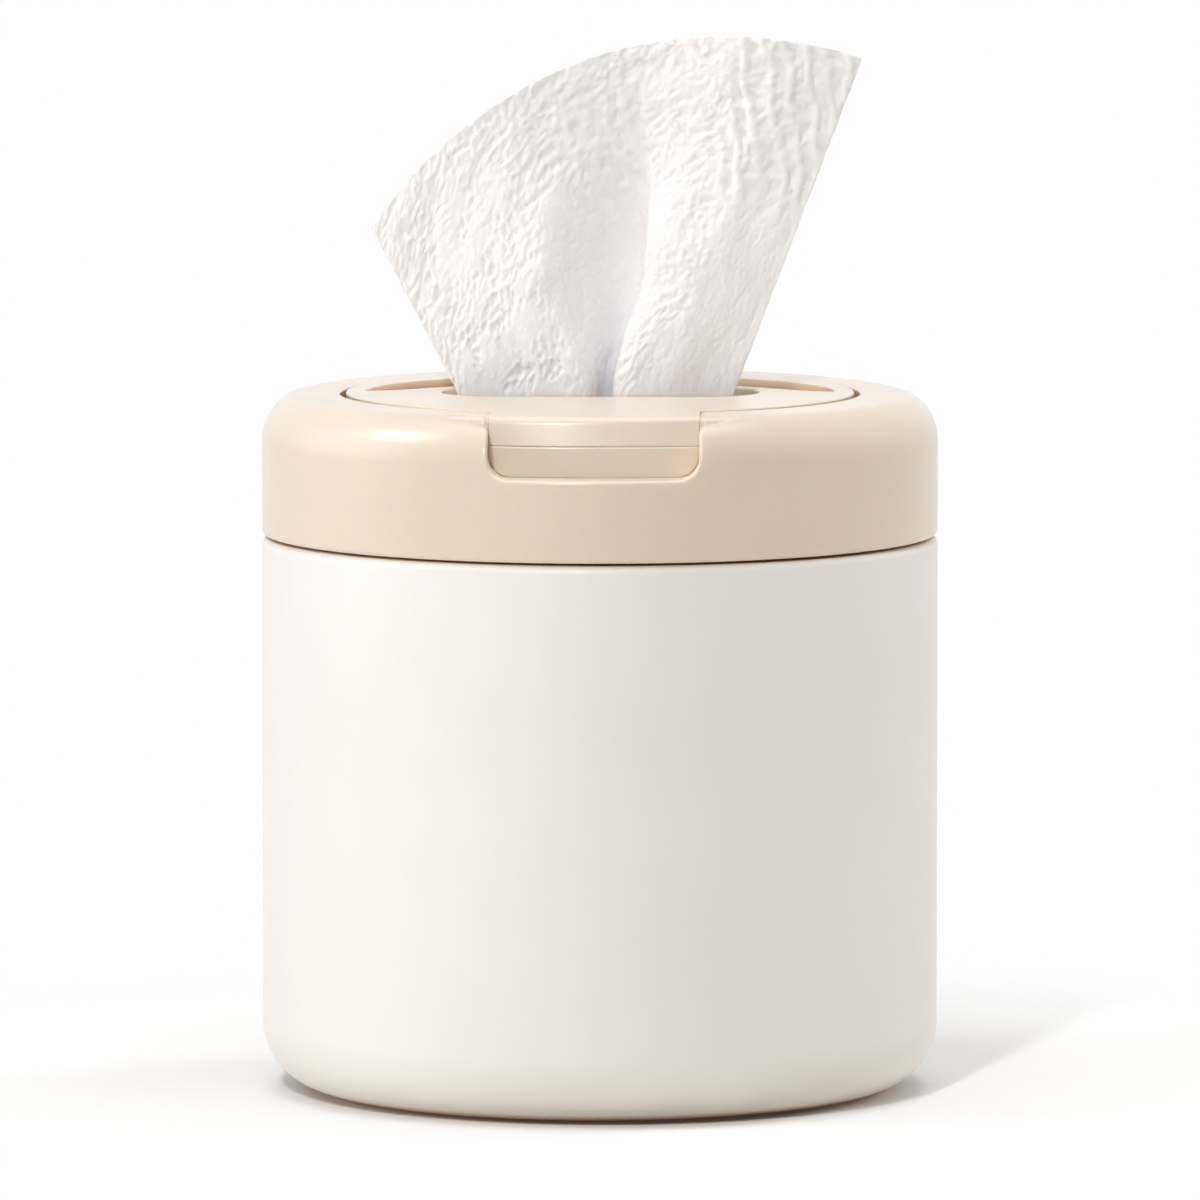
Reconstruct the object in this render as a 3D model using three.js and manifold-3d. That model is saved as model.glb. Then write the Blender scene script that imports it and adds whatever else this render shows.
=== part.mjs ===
// A countertop dispenser for wipes: a straight round canister, a push-fit lid with a hinged flip-up
// panel, the push button that frees the panel, and a roll of wipes that feeds up from its middle.
// Millimetres, +Z up. The origin is the middle of the base, and the button faces -Y.
import * as THREE from "three";
import { mergeVertices } from "three/addons/utils/BufferGeometryUtils.js";
import Module from "manifold-3d";

const wasm = await Module();
wasm.setup();

// Driving dimensions
const outerRadius = 80;
const wipeWidth = 140; // the width of a sheet is the height of the roll
const wall = 2.6;
const fit = 0.3; // clearance of pieces that seat on each other
const runningGap = 0.4; // clearance of faces that slide past each other
const overrun = 5; // how far a cutter runs past the face that it cuts

// Roundness, in sides
const roundSides = 60;
const boreSides = 48;
const smallSides = 12;
const arcSteps = 6;
const hiddenSteps = 3;
const edgeSteps = 2;
const cornerSteps = 3; // half the sides of an arc in an outline
const longArcSteps = 9; // the same for a long arc

// Heights, from the floor up
const footHeight = 0.5; // how far the foot ring stands proud of the canister
const floorTop = 5.5;
const rollHeadroom = 19.7; // from the top of the roll to the lid's flat top
const lidHeight = 33.5; // from the seam to the lid's flat top
const seamGap = 0.5;
const rollBase = floorTop + fit;
const rollTop = rollBase + wipeWidth;
const topHeight = rollTop + rollHeadroom;
const seamHeight = topHeight - lidHeight; // the middle of the joint between lid and canister

// The tab of the panel and the button below it, in the finger notch
const tabHeight = 6.8;
const buttonHeight = 6.4;
const buttonDepth = 13.4;
const buttonTravel = 2.5;
const notchHalfWidth = 24.5;
const notchCorner = 5;
const tabBottom = topHeight - tabHeight;
const buttonTop = tabBottom - runningGap;
const buttonBase = buttonTop - buttonHeight;
const notchFloor = buttonBase - runningGap;
const ledgeHeight = tabBottom + runningGap; // the top of the ledge that the panel rests on

// Radii, from the wall inwards
const crestInset = 7.3; // from the wall to where the shoulder meets the flat top
const topRing = 12.6; // from there to the rim of the panel
const grooveWidth = 1.4;
const faceInset = 9; // from the wall to the middle of the tab's and the button's faces
const faceRadius = 110; // these faces curve less than the wall does
const ledgeReach = 10.1;
const crestRadius = outerRadius - crestInset;
const panelRadius = crestRadius - topRing;
const grooveRadius = panelRadius + grooveWidth;
const notchFace = faceInset - outerRadius;
const frameInner = panelRadius - ledgeReach;

// The slot and the crescent recess behind it
const recessMargin = 5.1; // from the recess to the panel's rim
const plateauMargin = 8; // from the ends of the slot's plateau to the recess's outer edge
const slotMargin = 9.5; // from the slot to the edge of its plateau
const slotHalfWidth = 15.5;
const slotCorner = 14;
const recessRadius = panelRadius - recessMargin;
const plateauHalfLength = recessRadius - plateauMargin;
const slotHalfLength = plateauHalfLength - slotMargin;

// The panel's hinge, at the back
const hingeSetback = 4.4; // from the panel's rim to the pin
const barrelRadius = 2.8;
const pinRadius = 1;
const hingeHalfWidth = 22;
const hingeY = panelRadius + hingeSetback;
const hingeZ = topHeight - barrelRadius;
const panelSkin = 4.2;
const underPanel = topHeight - panelSkin;

// Screws
const shankRadius = 1.1;
const headRadius = 2.3;
const headHeight = 1.3;

// The roll of wipes
const rollInset = 14; // from the canister's outer face
const rollRadius = outerRadius - rollInset;
const rollBore = 22;

const finish = (colour, roughness, metalness = 0) =>
  new THREE.MeshStandardMaterial({ color: colour, roughness, metalness });
const finishes = {
  body: finish(0xf1ece5, 0.45),
  lid: finish(0xe6d6c3, 0.42),
  inner: finish(0xe2d3c1, 0.5),
  soft: finish(0xcfc3b4, 0.7),
  foot: finish(0x8f8679, 0.8),
  steel: finish(0xb9bcc0, 0.3, 1),
  paper: finish(0xf7f6f3, 0.9),
};

// Closed geometry as a solid. Its profile or outline may run either way round.
const weldDistance = 1e-4;
function solid(geometry) {
  const bare = geometry.clone();
  bare.deleteAttribute("normal");
  bare.deleteAttribute("uv");
  const merged = mergeVertices(bare, weldDistance);
  const corners = merged.index ? merged.index.array : [];
  const faces = [];
  for (let i = 0; i < corners.length; i += 3) {
    const [a, b, c] = [corners[i], corners[i + 1], corners[i + 2]];
    if (a !== b && b !== c && c !== a) faces.push([a, b, c]);
  }
  const build = (list) =>
    new wasm.Manifold(
      new wasm.Mesh({
        numProp: 3,
        vertProperties: new Float32Array(merged.attributes.position.array),
        triVerts: new Uint32Array(list.flat()),
      }),
    );
  const made = build(faces);
  return made.volume() > 0 ? made : build(faces.map(([a, b, c]) => [a, c, b]));
}

// A solid as a named mesh.
function piece(name, made, material) {
  const data = made.getMesh();
  const geometry = new THREE.BufferGeometry();
  const places = new Float32Array(data.numVert * 3);
  for (let i = 0; i < data.numVert; i++)
    for (let k = 0; k < 3; k++)
      places[3 * i + k] = data.vertProperties[data.numProp * i + k];
  geometry.setAttribute("position", new THREE.BufferAttribute(places, 3));
  geometry.setIndex(new THREE.BufferAttribute(new Uint32Array(data.triVerts), 1));
  geometry.computeVertexNormals();
  const mesh = new THREE.Mesh(geometry, material);
  mesh.name = name;
  return mesh;
}

const joined = (first, ...others) => others.reduce((sum, next) => sum.add(next), first);
const cut = (first, ...others) => others.reduce((rest, next) => rest.subtract(next), first);

const at = (r, z) => new THREE.Vector2(r, z);
const radians = THREE.MathUtils.degToRad;

// Points on an arc in a profile, from one angle to another.
function arc(centre, radius, from, to, steps) {
  return Array.from({ length: steps + 1 }, (_, i) => {
    const angle = from + ((to - from) * i) / steps;
    return at(centre.x + radius * Math.cos(angle), centre.y + radius * Math.sin(angle));
  });
}

// A profile of radius and height turned about Z.
const turned = (points, sides) =>
  solid(new THREE.LatheGeometry(points, sides).rotateX(Math.PI / 2));
const ring = (inner, outer, z0, z1, sides) =>
  turned([at(inner, z0), at(outer, z0), at(outer, z1), at(inner, z1), at(inner, z0)], sides);
const disc = (radius, z0, z1, sides) =>
  turned([at(0, z0), at(radius, z0), at(radius, z1), at(0, z1)], sides);

const box = (x0, x1, y0, y1, z0, z1) =>
  solid(
    new THREE.BoxGeometry(x1 - x0, y1 - y0, z1 - z0).translate(
      (x0 + x1) / 2,
      (y0 + y1) / 2,
      (z0 + z1) / 2,
    ),
  );

// A pin or bore with its middle line along Z, X or Y.
const postZ = (x, y, radius, z0, z1, sides = smallSides) =>
  disc(radius, z0, z1, sides).translate([x, y, 0]);
const postX = (y, z, radius, x0, x1) =>
  solid(
    new THREE.CylinderGeometry(radius, radius, x1 - x0, smallSides)
      .rotateZ(Math.PI / 2)
      .translate((x0 + x1) / 2, y, z),
  );
const postY = (x, z, radius, y0, y1) =>
  solid(
    new THREE.CylinderGeometry(radius, radius, y1 - y0, smallSides).translate(
      x,
      (y0 + y1) / 2,
      z,
    ),
  );

// An outline in X and Y raised along Z, one in X and Z run along Y, and one in Y and Z run along X.
const extruded = (shape, depth, curveSegments = cornerSteps) =>
  new THREE.ExtrudeGeometry(shape, { depth, bevelEnabled: false, curveSegments });
const raised = (shape, z0, z1, steps) =>
  solid(extruded(shape, z1 - z0, steps).translate(0, 0, z0));
const runY = (shape, y0, y1) =>
  solid(
    extruded(shape, y1 - y0)
      .rotateX(Math.PI / 2)
      .translate(0, y1, 0),
  );
const runX = (shape, x0, x1) =>
  solid(
    extruded(shape, x1 - x0)
      .rotateX(Math.PI / 2)
      .rotateZ(Math.PI / 2)
      .translate(x0, 0, 0),
  );

function roundedRectangle(halfX, halfY, radius) {
  const shape = new THREE.Shape();
  const quarter = Math.PI / 2;
  shape.moveTo(-halfX + radius, -halfY);
  shape.absarc(halfX - radius, -halfY + radius, radius, -quarter, 0);
  shape.absarc(halfX - radius, halfY - radius, radius, 0, quarter);
  shape.absarc(-halfX + radius, halfY - radius, radius, quarter, 2 * quarter);
  shape.absarc(-halfX + radius, -halfY + radius, radius, 2 * quarter, 3 * quarter);
  return shape;
}

// An outline in X and Z with a flat top and round lower corners.
function roundBottomed(halfX, z0, z1, radius) {
  const shape = new THREE.Shape();
  shape.moveTo(-halfX, z1);
  shape.lineTo(-halfX, z0 + radius);
  shape.absarc(-halfX + radius, z0 + radius, radius, Math.PI, 1.5 * Math.PI);
  shape.absarc(halfX - radius, z0 + radius, radius, 1.5 * Math.PI, 2 * Math.PI);
  shape.lineTo(halfX, z1);
  return shape;
}

// Canister

const neckRoom = 2.9; // between the neck's top and the notch's block above it
const gasketRoom = 2.9; // between the neck and the lid's wall
const footFillet = 16;
const shelfEdge = 0.7;
const gasketHeight = 2.8;
const gasketDrop = 7.9; // from the neck's top to the groove's foot
const gasketSeat = 0.6; // depth of the groove in the neck
const footInset = 20;
const footWidth = 8;
const footSeat = 1.4;
const baseHollow = 2.1; // how far the underside is dished inside the foot ring
const channelWall = 2.4; // the walls of the block that the button slides in
const footOuter = outerRadius - footInset;
const footInner = footOuter - footWidth;
const shelfHeight = seamHeight - seamGap / 2;
const neckRadius = outerRadius - wall - gasketRoom;
const neckTop = notchFloor - channelWall - neckRoom;
const gasketBase = neckTop - gasketDrop;

function canisterShell() {
  const innerRadius = outerRadius - wall;
  const fillet = at(outerRadius - footFillet, footHeight + footFillet);
  const innerFillet = footFillet - wall;
  const floorAngle = -Math.asin((fillet.y - floorTop) / innerFillet);
  const neckInner = neckRadius - wall;
  const shelfCorner = at(outerRadius - shelfEdge, shelfHeight - shelfEdge);
  const profile = [
    at(0, footHeight + baseHollow),
    at(footInner - wall, footHeight + baseHollow),
    at(footInner - wall, footHeight),
    at(footInner, footHeight),
    at(footInner, footHeight + footSeat),
    at(footOuter, footHeight + footSeat),
    at(footOuter, footHeight),
    ...arc(fillet, footFillet, -Math.PI / 2, 0, arcSteps),
    ...arc(shelfCorner, shelfEdge, 0, Math.PI / 2, edgeSteps),
    at(neckRadius, shelfHeight),
    at(neckRadius, gasketBase),
    at(neckRadius - gasketSeat, gasketBase),
    at(neckRadius - gasketSeat, gasketBase + gasketHeight + 2 * fit),
    at(neckRadius, gasketBase + gasketHeight + 2 * fit),
    at(neckRadius, neckTop),
    at(neckInner, neckTop),
    at(neckInner, shelfHeight - wall),
    at(innerRadius, shelfHeight - wall - shelfEdge),
    ...arc(fillet, innerFillet, 0, floorAngle, hiddenSteps),
    at(0, floorTop),
  ];
  return turned(profile, roundSides);
}

const footRing = () =>
  ring(footInner + fit, footOuter - fit, 0, footHeight + footSeat - fit, roundSides);

// A soft ring with a round outer edge, in the groove of the neck.
function gasket() {
  const inner = neckRadius - gasketSeat + fit;
  const outer = outerRadius - wall - fit;
  const middle = gasketBase + fit + gasketHeight / 2;
  const half = gasketHeight / 2;
  const profile = [
    at(inner, middle - half),
    ...arc(at(outer - half, middle), half, -Math.PI / 2, Math.PI / 2, hiddenSteps),
    at(inner, middle + half),
    at(inner, middle - half),
  ];
  return turned(profile, roundSides);
}

// Roll

const roll = () => ring(rollBore, rollRadius, rollBase, rollTop, boreSides);

// Lid

const lidBottom = seamHeight + seamGap / 2;
const lidEdge = 0.5;
const shoulderRadius = 11.85;
const lidSkin = 2.5;
const lipEdge = 1;
const collarWall = 2.2;
const collarBottom = ledgeHeight + fit;
const shoulderX = outerRadius - shoulderRadius;
const shoulderZ = topHeight - Math.sqrt(shoulderRadius ** 2 - (crestRadius - shoulderX) ** 2);

// The notch's block inside the lid, with the channel that the button slides in
const blockSide = 4;
const blockHalfWidth = notchHalfWidth + blockSide;
const flareWidth = 15; // how much wider the notch is at the very top, at each side
const flareHeight = 2.3;
const browEdge = 1.7; // the round edge between these faces and the flat top
const faceSides = 120;
const channelBack = notchFace + buttonDepth + buttonTravel + runningGap;
const springX = 14;
const springZ = (notchFloor + buttonTop) / 2;
const spigotRadius = 1;
const spigotLength = 2.3;

// The hinge pocket, and the bosses that hold the pin and the screws
const pocketRoom = 1; // behind the barrels
const pocketBack = hingeY + barrelRadius + pocketRoom;
const pocketHalfWidth = hingeHalfWidth + runningGap;
const pinBoss = 5;
const pinBossReach = 3.6;
const screwBossGap = 0.1; // between the lid's collar and the screw bosses
const screwAngles = [30, 150, 210, 330].map(radians);
const screwBoss = 3.2;
const screwCircle = grooveRadius + collarWall + screwBossGap + screwBoss;
const screwGrip = 3.6;
const screwHole = shankRadius + fit;

// All that lies behind the curved faces in the notch, up to their round top edge.
function behindFaces() {
  const low = notchFloor - overrun;
  const high = topHeight + overrun;
  const edge = at(faceRadius - browEdge, topHeight - browEdge);
  return turned(
    [
      at(0, low),
      at(faceRadius, low),
      ...arc(edge, browEdge, 0, Math.PI / 2, edgeSteps),
      at(faceRadius - browEdge, high),
      at(0, high),
    ],
    faceSides,
  ).translate([0, notchFace + faceRadius, 0]);
}

// The lid's outer face, from the bottom edge to the flat top.
function lidOutline() {
  const crestAngle = Math.asin((topHeight - shoulderZ) / shoulderRadius);
  return [
    ...arc(at(outerRadius - lidEdge, lidBottom + lidEdge), lidEdge, -Math.PI / 2, 0, edgeSteps),
    ...arc(at(shoulderX, shoulderZ), shoulderRadius, 0, crestAngle, arcSteps),
  ];
}

function lidShell() {
  const inner = shoulderRadius - wall;
  const underside = topHeight - lidSkin;
  const undersideAngle = Math.asin((underside - shoulderZ) / inner);
  const lip = at(grooveRadius + lipEdge, topHeight - lipEdge);
  const shell = turned(
    [
      at(outerRadius - wall, lidBottom),
      ...lidOutline(),
      ...arc(lip, lipEdge, Math.PI / 2, Math.PI, edgeSteps),
      at(grooveRadius, collarBottom),
      at(grooveRadius + collarWall, collarBottom),
      at(grooveRadius + collarWall, underside),
      ...arc(at(shoulderX, shoulderZ), inner, undersideAngle, 0, hiddenSteps),
      at(outerRadius - wall, lidBottom),
    ],
    roundSides,
  );
  const filled = turned([at(0, lidBottom), ...lidOutline(), at(0, topHeight)], roundSides);
  const well = disc(grooveRadius, ledgeHeight, topHeight + overrun, roundSides);

  const blockBack = channelBack + channelWall;
  const blockBase = notchFloor - channelWall;
  const block = box(-blockHalfWidth, blockHalfWidth, -outerRadius, blockBack, blockBase, topHeight);
  const bosses = [-pocketHalfWidth - pinBoss, pocketHalfWidth].map((x0) =>
    box(
      x0,
      x0 + pinBoss,
      hingeY - pinBossReach,
      hingeY + pinBossReach,
      collarBottom,
      topHeight - lidSkin / 2,
    ),
  );
  const screwPosts = screwAngles.map((angle) =>
    postZ(
      screwCircle * Math.cos(angle),
      screwCircle * Math.sin(angle),
      screwBoss,
      collarBottom,
      topHeight - lidSkin / 2,
    ),
  );
  const within = joined(block, ...bosses).intersect(filled).subtract(well);

  const high = topHeight + overrun;
  const channel = runY(
    roundBottomed(notchHalfWidth, notchFloor, high, notchCorner),
    -outerRadius - overrun,
    channelBack,
  );
  const flare = new THREE.Shape();
  const flareReach = notchHalfWidth + (flareWidth * (flareHeight + overrun)) / flareHeight;
  flare.moveTo(-notchHalfWidth, topHeight - flareHeight);
  flare.lineTo(notchHalfWidth, topHeight - flareHeight);
  flare.lineTo(flareReach, high);
  flare.lineTo(-flareReach, high);
  const spigots = [-springX, springX].map((x) =>
    postY(x, springZ, spigotRadius, channelBack - spigotLength, channelBack + channelWall / 2),
  );
  const pocket = box(
    -pocketHalfWidth,
    pocketHalfWidth,
    panelRadius - lipEdge - collarWall,
    pocketBack,
    ledgeHeight,
    high,
  );
  const pinReach = pocketHalfWidth + pinBoss + overrun;
  const body = cut(
    joined(shell, within, ...screwPosts),
    channel,
    runY(flare, -outerRadius - overrun, -grooveRadius).subtract(behindFaces()),
    pocket,
    postX(hingeY, hingeZ, pinRadius + fit, -pinReach, pinReach),
    ...screwAngles.map((angle) =>
      postZ(
        screwCircle * Math.cos(angle),
        screwCircle * Math.sin(angle),
        screwHole,
        collarBottom - overrun,
        collarBottom + screwGrip,
      ),
    ),
  );
  return joined(body, ...spigots);
}

// The ring under the lid's top, whose inner edge is the ledge that the panel closes on.
const frameRim = 3.5; // the plate outside the middle of its screws
const frameOuter = screwCircle + frameRim;
const frameThickness = 2.4;

function lidFrame() {
  const plate = ring(
    frameInner,
    frameOuter,
    ledgeHeight - frameThickness,
    ledgeHeight,
    roundSides,
  );
  const low = ledgeHeight - frameThickness - overrun;
  const aroundBlock = box(
    -blockHalfWidth - fit,
    blockHalfWidth + fit,
    -outerRadius,
    channelBack + channelWall + fit,
    low,
    ledgeHeight + overrun,
  );
  const holes = screwAngles.map((angle) =>
    postZ(
      screwCircle * Math.cos(angle),
      screwCircle * Math.sin(angle),
      screwHole,
      low,
      ledgeHeight + overrun,
    ),
  );
  return cut(plate, aroundBlock, ...holes);
}

// A pan-headed screw pointing up, with the seat of its head at height 0.
function screw(length) {
  const slotDepth = 0.6;
  const driveRadius = 1;
  const domeDrop = 0.4;
  return turned(
    [
      at(0, -headHeight + slotDepth),
      at(driveRadius, -headHeight + slotDepth),
      at(driveRadius, -headHeight),
      at(headRadius - domeDrop, -headHeight),
      at(headRadius, -headHeight + domeDrop),
      at(headRadius, 0),
      at(shankRadius, 0),
      at(shankRadius, length - domeDrop),
      at(0, length),
    ],
    smallSides,
  );
}

// Springs: a wire along a path with straight ends and a coil between them.
const wireSides = 5;
const stepsPerTurn = 8;

class CoilPath extends THREE.Curve {
  constructor(radius, length, turns, firstLeg, lastLeg) {
    super();
    Object.assign(this, { radius, length, turns, firstLeg, lastLeg });
    this.coilLength = Math.hypot(2 * Math.PI * radius * turns, length);
    this.total = firstLeg + this.coilLength + lastLeg;
  }
  // The coil's axis is X. The first leg comes up along Z, and the last runs off along the tangent.
  getPoint(t, target = new THREE.Vector3()) {
    const along = t * this.total;
    const share = THREE.MathUtils.clamp((along - this.firstLeg) / this.coilLength, 0, 1);
    const angle = 2 * Math.PI * this.turns * share;
    const [c, s] = [Math.cos(angle), Math.sin(angle)];
    const before = Math.min(0, along - this.firstLeg);
    const after = Math.max(0, along - this.firstLeg - this.coilLength);
    return target.set(
      this.length * share,
      this.radius * c - s * after,
      this.radius * s + c * after + before,
    );
  }
}

function spring(path, wireRadius) {
  const section = new THREE.Shape(
    Array.from({ length: wireSides }, (_, i) => {
      const angle = (2 * Math.PI * i) / wireSides;
      return at(wireRadius * Math.cos(angle), wireRadius * Math.sin(angle));
    }),
  );
  const steps = Math.ceil((stepsPerTurn * path.turns * path.total) / path.coilLength);
  return solid(new THREE.ExtrudeGeometry(section, { steps, extrudePath: path }));
}

const hingeSpringRadius = 1.9;
const hingeSpringHalf = 7.2;
const barrelGap = 0.8; // between the spring and the panel's barrels
const hingeWire = 0.35;
const hingeTurns = 8.25;
const legRoom = 1; // between the spring's leg and the panel's rim
const panelLeg = hingeSetback - legRoom;
const floorLeg = hingeZ - ledgeHeight - fit - hingeWire;
const buttonSpringRadius = 1.7;
const buttonWire = 0.3;
const buttonTurns = 3.5;
const boreFloor = 9; // the plastic left between the button's face and its spring bores
const buttonSpringLength = buttonDepth - boreFloor - 2 * fit;

// Button

const sideGap = runningGap;
const springRoom = 0.6;
const springBore = buttonSpringRadius + buttonWire + springRoom;
const latchHalfWidth = 7;
const latchThickness = 1.4;
const latchNose = 1.3;
const latchNoseHeight = 1.1;
const buttonBack = notchFace + buttonDepth;

function releaseButton() {
  const block = runY(
    roundBottomed(notchHalfWidth - sideGap, buttonBase, buttonTop, notchCorner - runningGap),
    notchFace,
    buttonBack,
  ).intersect(behindFaces());
  const latchTop = underPanel - fit;
  const finger = box(
    -latchHalfWidth,
    latchHalfWidth,
    buttonBack - latchThickness,
    buttonBack,
    buttonTop - channelWall,
    latchTop,
  );
  const nose = box(
    -latchHalfWidth,
    latchHalfWidth,
    buttonBack - latchThickness - latchNose,
    buttonBack,
    latchTop - latchNoseHeight,
    latchTop,
  );
  const bores = [-springX, springX].map((x) =>
    postY(x, springZ, springBore, notchFace + boreFloor, buttonBack + overrun),
  );
  return cut(joined(block, finger, nose), ...bores);
}

// Flip panel

const panelEdge = 0.8;
const rimWall = 2.2;
const tabWall = 2.2;
const tongueHalfWidth = notchHalfWidth - sideGap;
const faceSag = faceRadius - Math.sqrt(faceRadius ** 2 - tongueHalfWidth ** 2);
const tabBack = notchFace + faceSag + tabWall;
const catchHeight = 1.3;
const recessDepth = 2;
const recessTip = 1.5; // how far behind the middle the recess starts, at its two ends
const plateauHalfWidth = slotHalfWidth + slotMargin;
const plateauRounding = 6; // how much rounder the plateau's and the membrane's corners are
const plateauCorner = slotCorner + plateauRounding;
const plateauFillet = 6;
const membraneMargin = 8.5;
const membraneHalfLength = slotHalfLength + membraneMargin;
const membraneHalfWidth = slotHalfWidth + membraneMargin;
const membraneCorner = plateauCorner;
const membraneThickness = 1.2;
const retainerThickness = 1.9;
const screwInset = 4;
const retainerScrews = [
  [membraneHalfLength - screwInset, 0],
  [screwInset - membraneHalfLength, 0],
  [0, membraneHalfWidth - screwInset],
  [0, screwInset - membraneHalfWidth],
];
const retainerGrip = 2.9;
const membraneBase = underPanel - fit - membraneThickness;
const retainerBase = membraneBase - fit - retainerThickness;

// The crescent behind the slot: the outline of what is sunk below the panel's top.
function recessOutline() {
  const shape = new THREE.Shape();
  const tipAngle = Math.asin(recessTip / recessRadius);
  const tipX = recessRadius * Math.cos(tipAngle);
  const turnY = recessTip + plateauFillet;
  const cornerY = plateauHalfWidth - plateauCorner;
  const cornerX = plateauHalfLength - plateauCorner;
  shape.moveTo(tipX, recessTip);
  shape.absarc(0, 0, recessRadius, tipAngle, Math.PI - tipAngle);
  shape.quadraticCurveTo(-plateauHalfLength, recessTip, -plateauHalfLength, turnY);
  shape.absarc(-cornerX, cornerY, plateauCorner, Math.PI, Math.PI / 2, true);
  shape.absarc(cornerX, cornerY, plateauCorner, Math.PI / 2, 0, true);
  shape.lineTo(plateauHalfLength, turnY);
  shape.quadraticCurveTo(plateauHalfLength, recessTip, tipX, recessTip);
  return shape;
}

function flipPanel() {
  const rimBottom = ledgeHeight + fit;
  const rimInner = panelRadius - rimWall;
  const edge = at(panelRadius - panelEdge, topHeight - panelEdge);
  const plate = turned(
    [
      at(0, underPanel),
      at(rimInner, underPanel),
      at(rimInner, rimBottom),
      at(panelRadius, rimBottom),
      ...arc(edge, panelEdge, 0, Math.PI / 2, edgeSteps),
      at(0, topHeight),
    ],
    roundSides,
  );

  const tabProfile = new THREE.Shape();
  tabProfile.moveTo(-frameInner, rimBottom);
  tabProfile.lineTo(-frameInner, topHeight);
  tabProfile.lineTo(notchFace - overrun, topHeight);
  tabProfile.lineTo(notchFace - overrun, tabBottom);
  tabProfile.lineTo(tabBack, tabBottom);
  tabProfile.lineTo(tabBack, rimBottom);
  const tongue = runX(tabProfile, -tongueHalfWidth, tongueHalfWidth).intersect(behindFaces());
  const hollow = box(
    rimWall - tongueHalfWidth,
    tongueHalfWidth - rimWall,
    tabBack,
    -frameInner + overrun,
    tabBottom - overrun,
    underPanel,
  );
  const sweep = latchHalfWidth + tabWall;
  const latchRoom = box(
    -sweep,
    sweep,
    tabBack,
    buttonBack + buttonTravel + fit,
    tabBottom - overrun,
    underPanel,
  );
  const catchBack = buttonBack - latchThickness - latchNose - fit;
  const catchLip = box(
    -latchHalfWidth,
    latchHalfWidth,
    tabBack - tabWall / 2,
    catchBack,
    tabBottom,
    tabBottom + catchHeight,
  );

  const barrels = [
    [-hingeHalfWidth, -hingeSpringHalf - barrelGap],
    [hingeSpringHalf + barrelGap, hingeHalfWidth],
  ].flatMap(([x0, x1]) => [
    postX(hingeY, hingeZ, barrelRadius, x0, x1),
    box(x0, x1, recessRadius, hingeY, underPanel, topHeight),
  ]);

  const high = topHeight + overrun;
  const slot = raised(
    roundedRectangle(slotHalfLength, slotHalfWidth, slotCorner),
    underPanel - overrun,
    high,
  );
  const recess = raised(recessOutline(), topHeight - recessDepth, high, longArcSteps);
  const screwHoles = retainerScrews.map(([x, y]) =>
    postZ(x, y, screwHole, underPanel - overrun, underPanel + retainerGrip),
  );
  const body = cut(
    joined(plate, tongue.subtract(hollow), ...barrels),
    latchRoom,
    recess,
    slot,
    postX(hingeY, hingeZ, pinRadius + fit, -hingeHalfWidth - overrun, hingeHalfWidth + overrun),
    ...screwHoles,
  );
  return joined(body, catchLip);
}

const sealInset = 0.6;
const sealWidth = 2.4;
const sealInner = frameInner + sealInset;
const panelSeal = () =>
  ring(sealInner, sealInner + sealWidth, ledgeHeight + fit, underPanel - fit, roundSides);

// The soft membrane that grips the wipe, and the ring that clamps it under the panel.
const gripInset = 3.9; // from the slot's ends to the membrane's opening
const gripHalfLength = slotHalfLength - gripInset;
const gripHalfWidth = 8.6;
const gripCorner = 8;
const clampInset = 1.5;
const clampMargin = 3.4;
const clampHalfLength = slotHalfLength - clampInset;
const clampHalfWidth = gripHalfWidth + clampMargin;
const clampCorner = gripCorner + clampMargin;

function underPlate(z0, z1, halfLength, halfWidth, corner) {
  const plate = raised(
    roundedRectangle(membraneHalfLength, membraneHalfWidth, membraneCorner),
    z0,
    z1,
  );
  const opening = raised(
    roundedRectangle(halfLength, halfWidth, corner),
    z0 - overrun,
    z1 + overrun,
  );
  const holes = retainerScrews.map(([x, y]) =>
    postZ(x, y, screwHole, z0 - overrun, z1 + overrun),
  );
  return cut(plate, opening, ...holes);
}

const membrane = () =>
  underPlate(
    membraneBase,
    membraneBase + membraneThickness,
    gripHalfLength,
    gripHalfWidth,
    gripCorner,
  );
const retainer = () =>
  underPlate(
    retainerBase,
    retainerBase + retainerThickness,
    clampHalfLength,
    clampHalfWidth,
    clampCorner,
  );

// Wipes

const sheetThickness = 1;
const tailDepth = 10; // how far the pulled sheet still reaches into the roll
const leftTipReach = 54.1; // the ends of the sheet's free edge, out from the middle
const leftTipRise = 38.9; // and up from the lid's top
const rightTipReach = 62;
const rightTipRise = 79.1;
const freeEdgeRadius = 100;
const leftGap = 3.5; // between the sheet's edges and the slot's ends
const rightGap = 5.9;
const gripGap = 3; // the same at the membrane, at each side
const boreGap = 3; // the same at the top of the roll's bore
const tailGap = 5.5; // and at the sheet's lower end
const lipFold = 8.5; // depth of the folds where the sheet leaves the slot
const fullFold = 10.5; // where they are deepest
const edgeFold = 4.5; // at the free edge
const leftTip = at(-leftTipReach, topHeight + leftTipRise);
const rightTip = at(rightTipReach, topHeight + rightTipRise);
const slotLeft = leftGap - slotHalfLength;
const slotRight = slotHalfLength - rightGap;
const tailBottom = rollTop - tailDepth;
const fullFoldShare = 0.35; // how far up the fan the folds are deepest
const fanRows = 10;
const sheetColumns = 36;

// Below the lid's top, the sheet by height: half its width, and the depth of its folds as a share
// of half the membrane's opening.
const tailShares = [
  [tailBottom, rollBore - tailGap, 0.52],
  [rollTop, rollBore - boreGap, 0.58],
  [retainerBase, gripHalfLength - gripGap - fit, 0.65],
  [membraneBase, gripHalfLength - gripGap, 0.72],
  [underPanel, gripHalfLength - gripGap + fit, 0.79],
];

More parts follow.
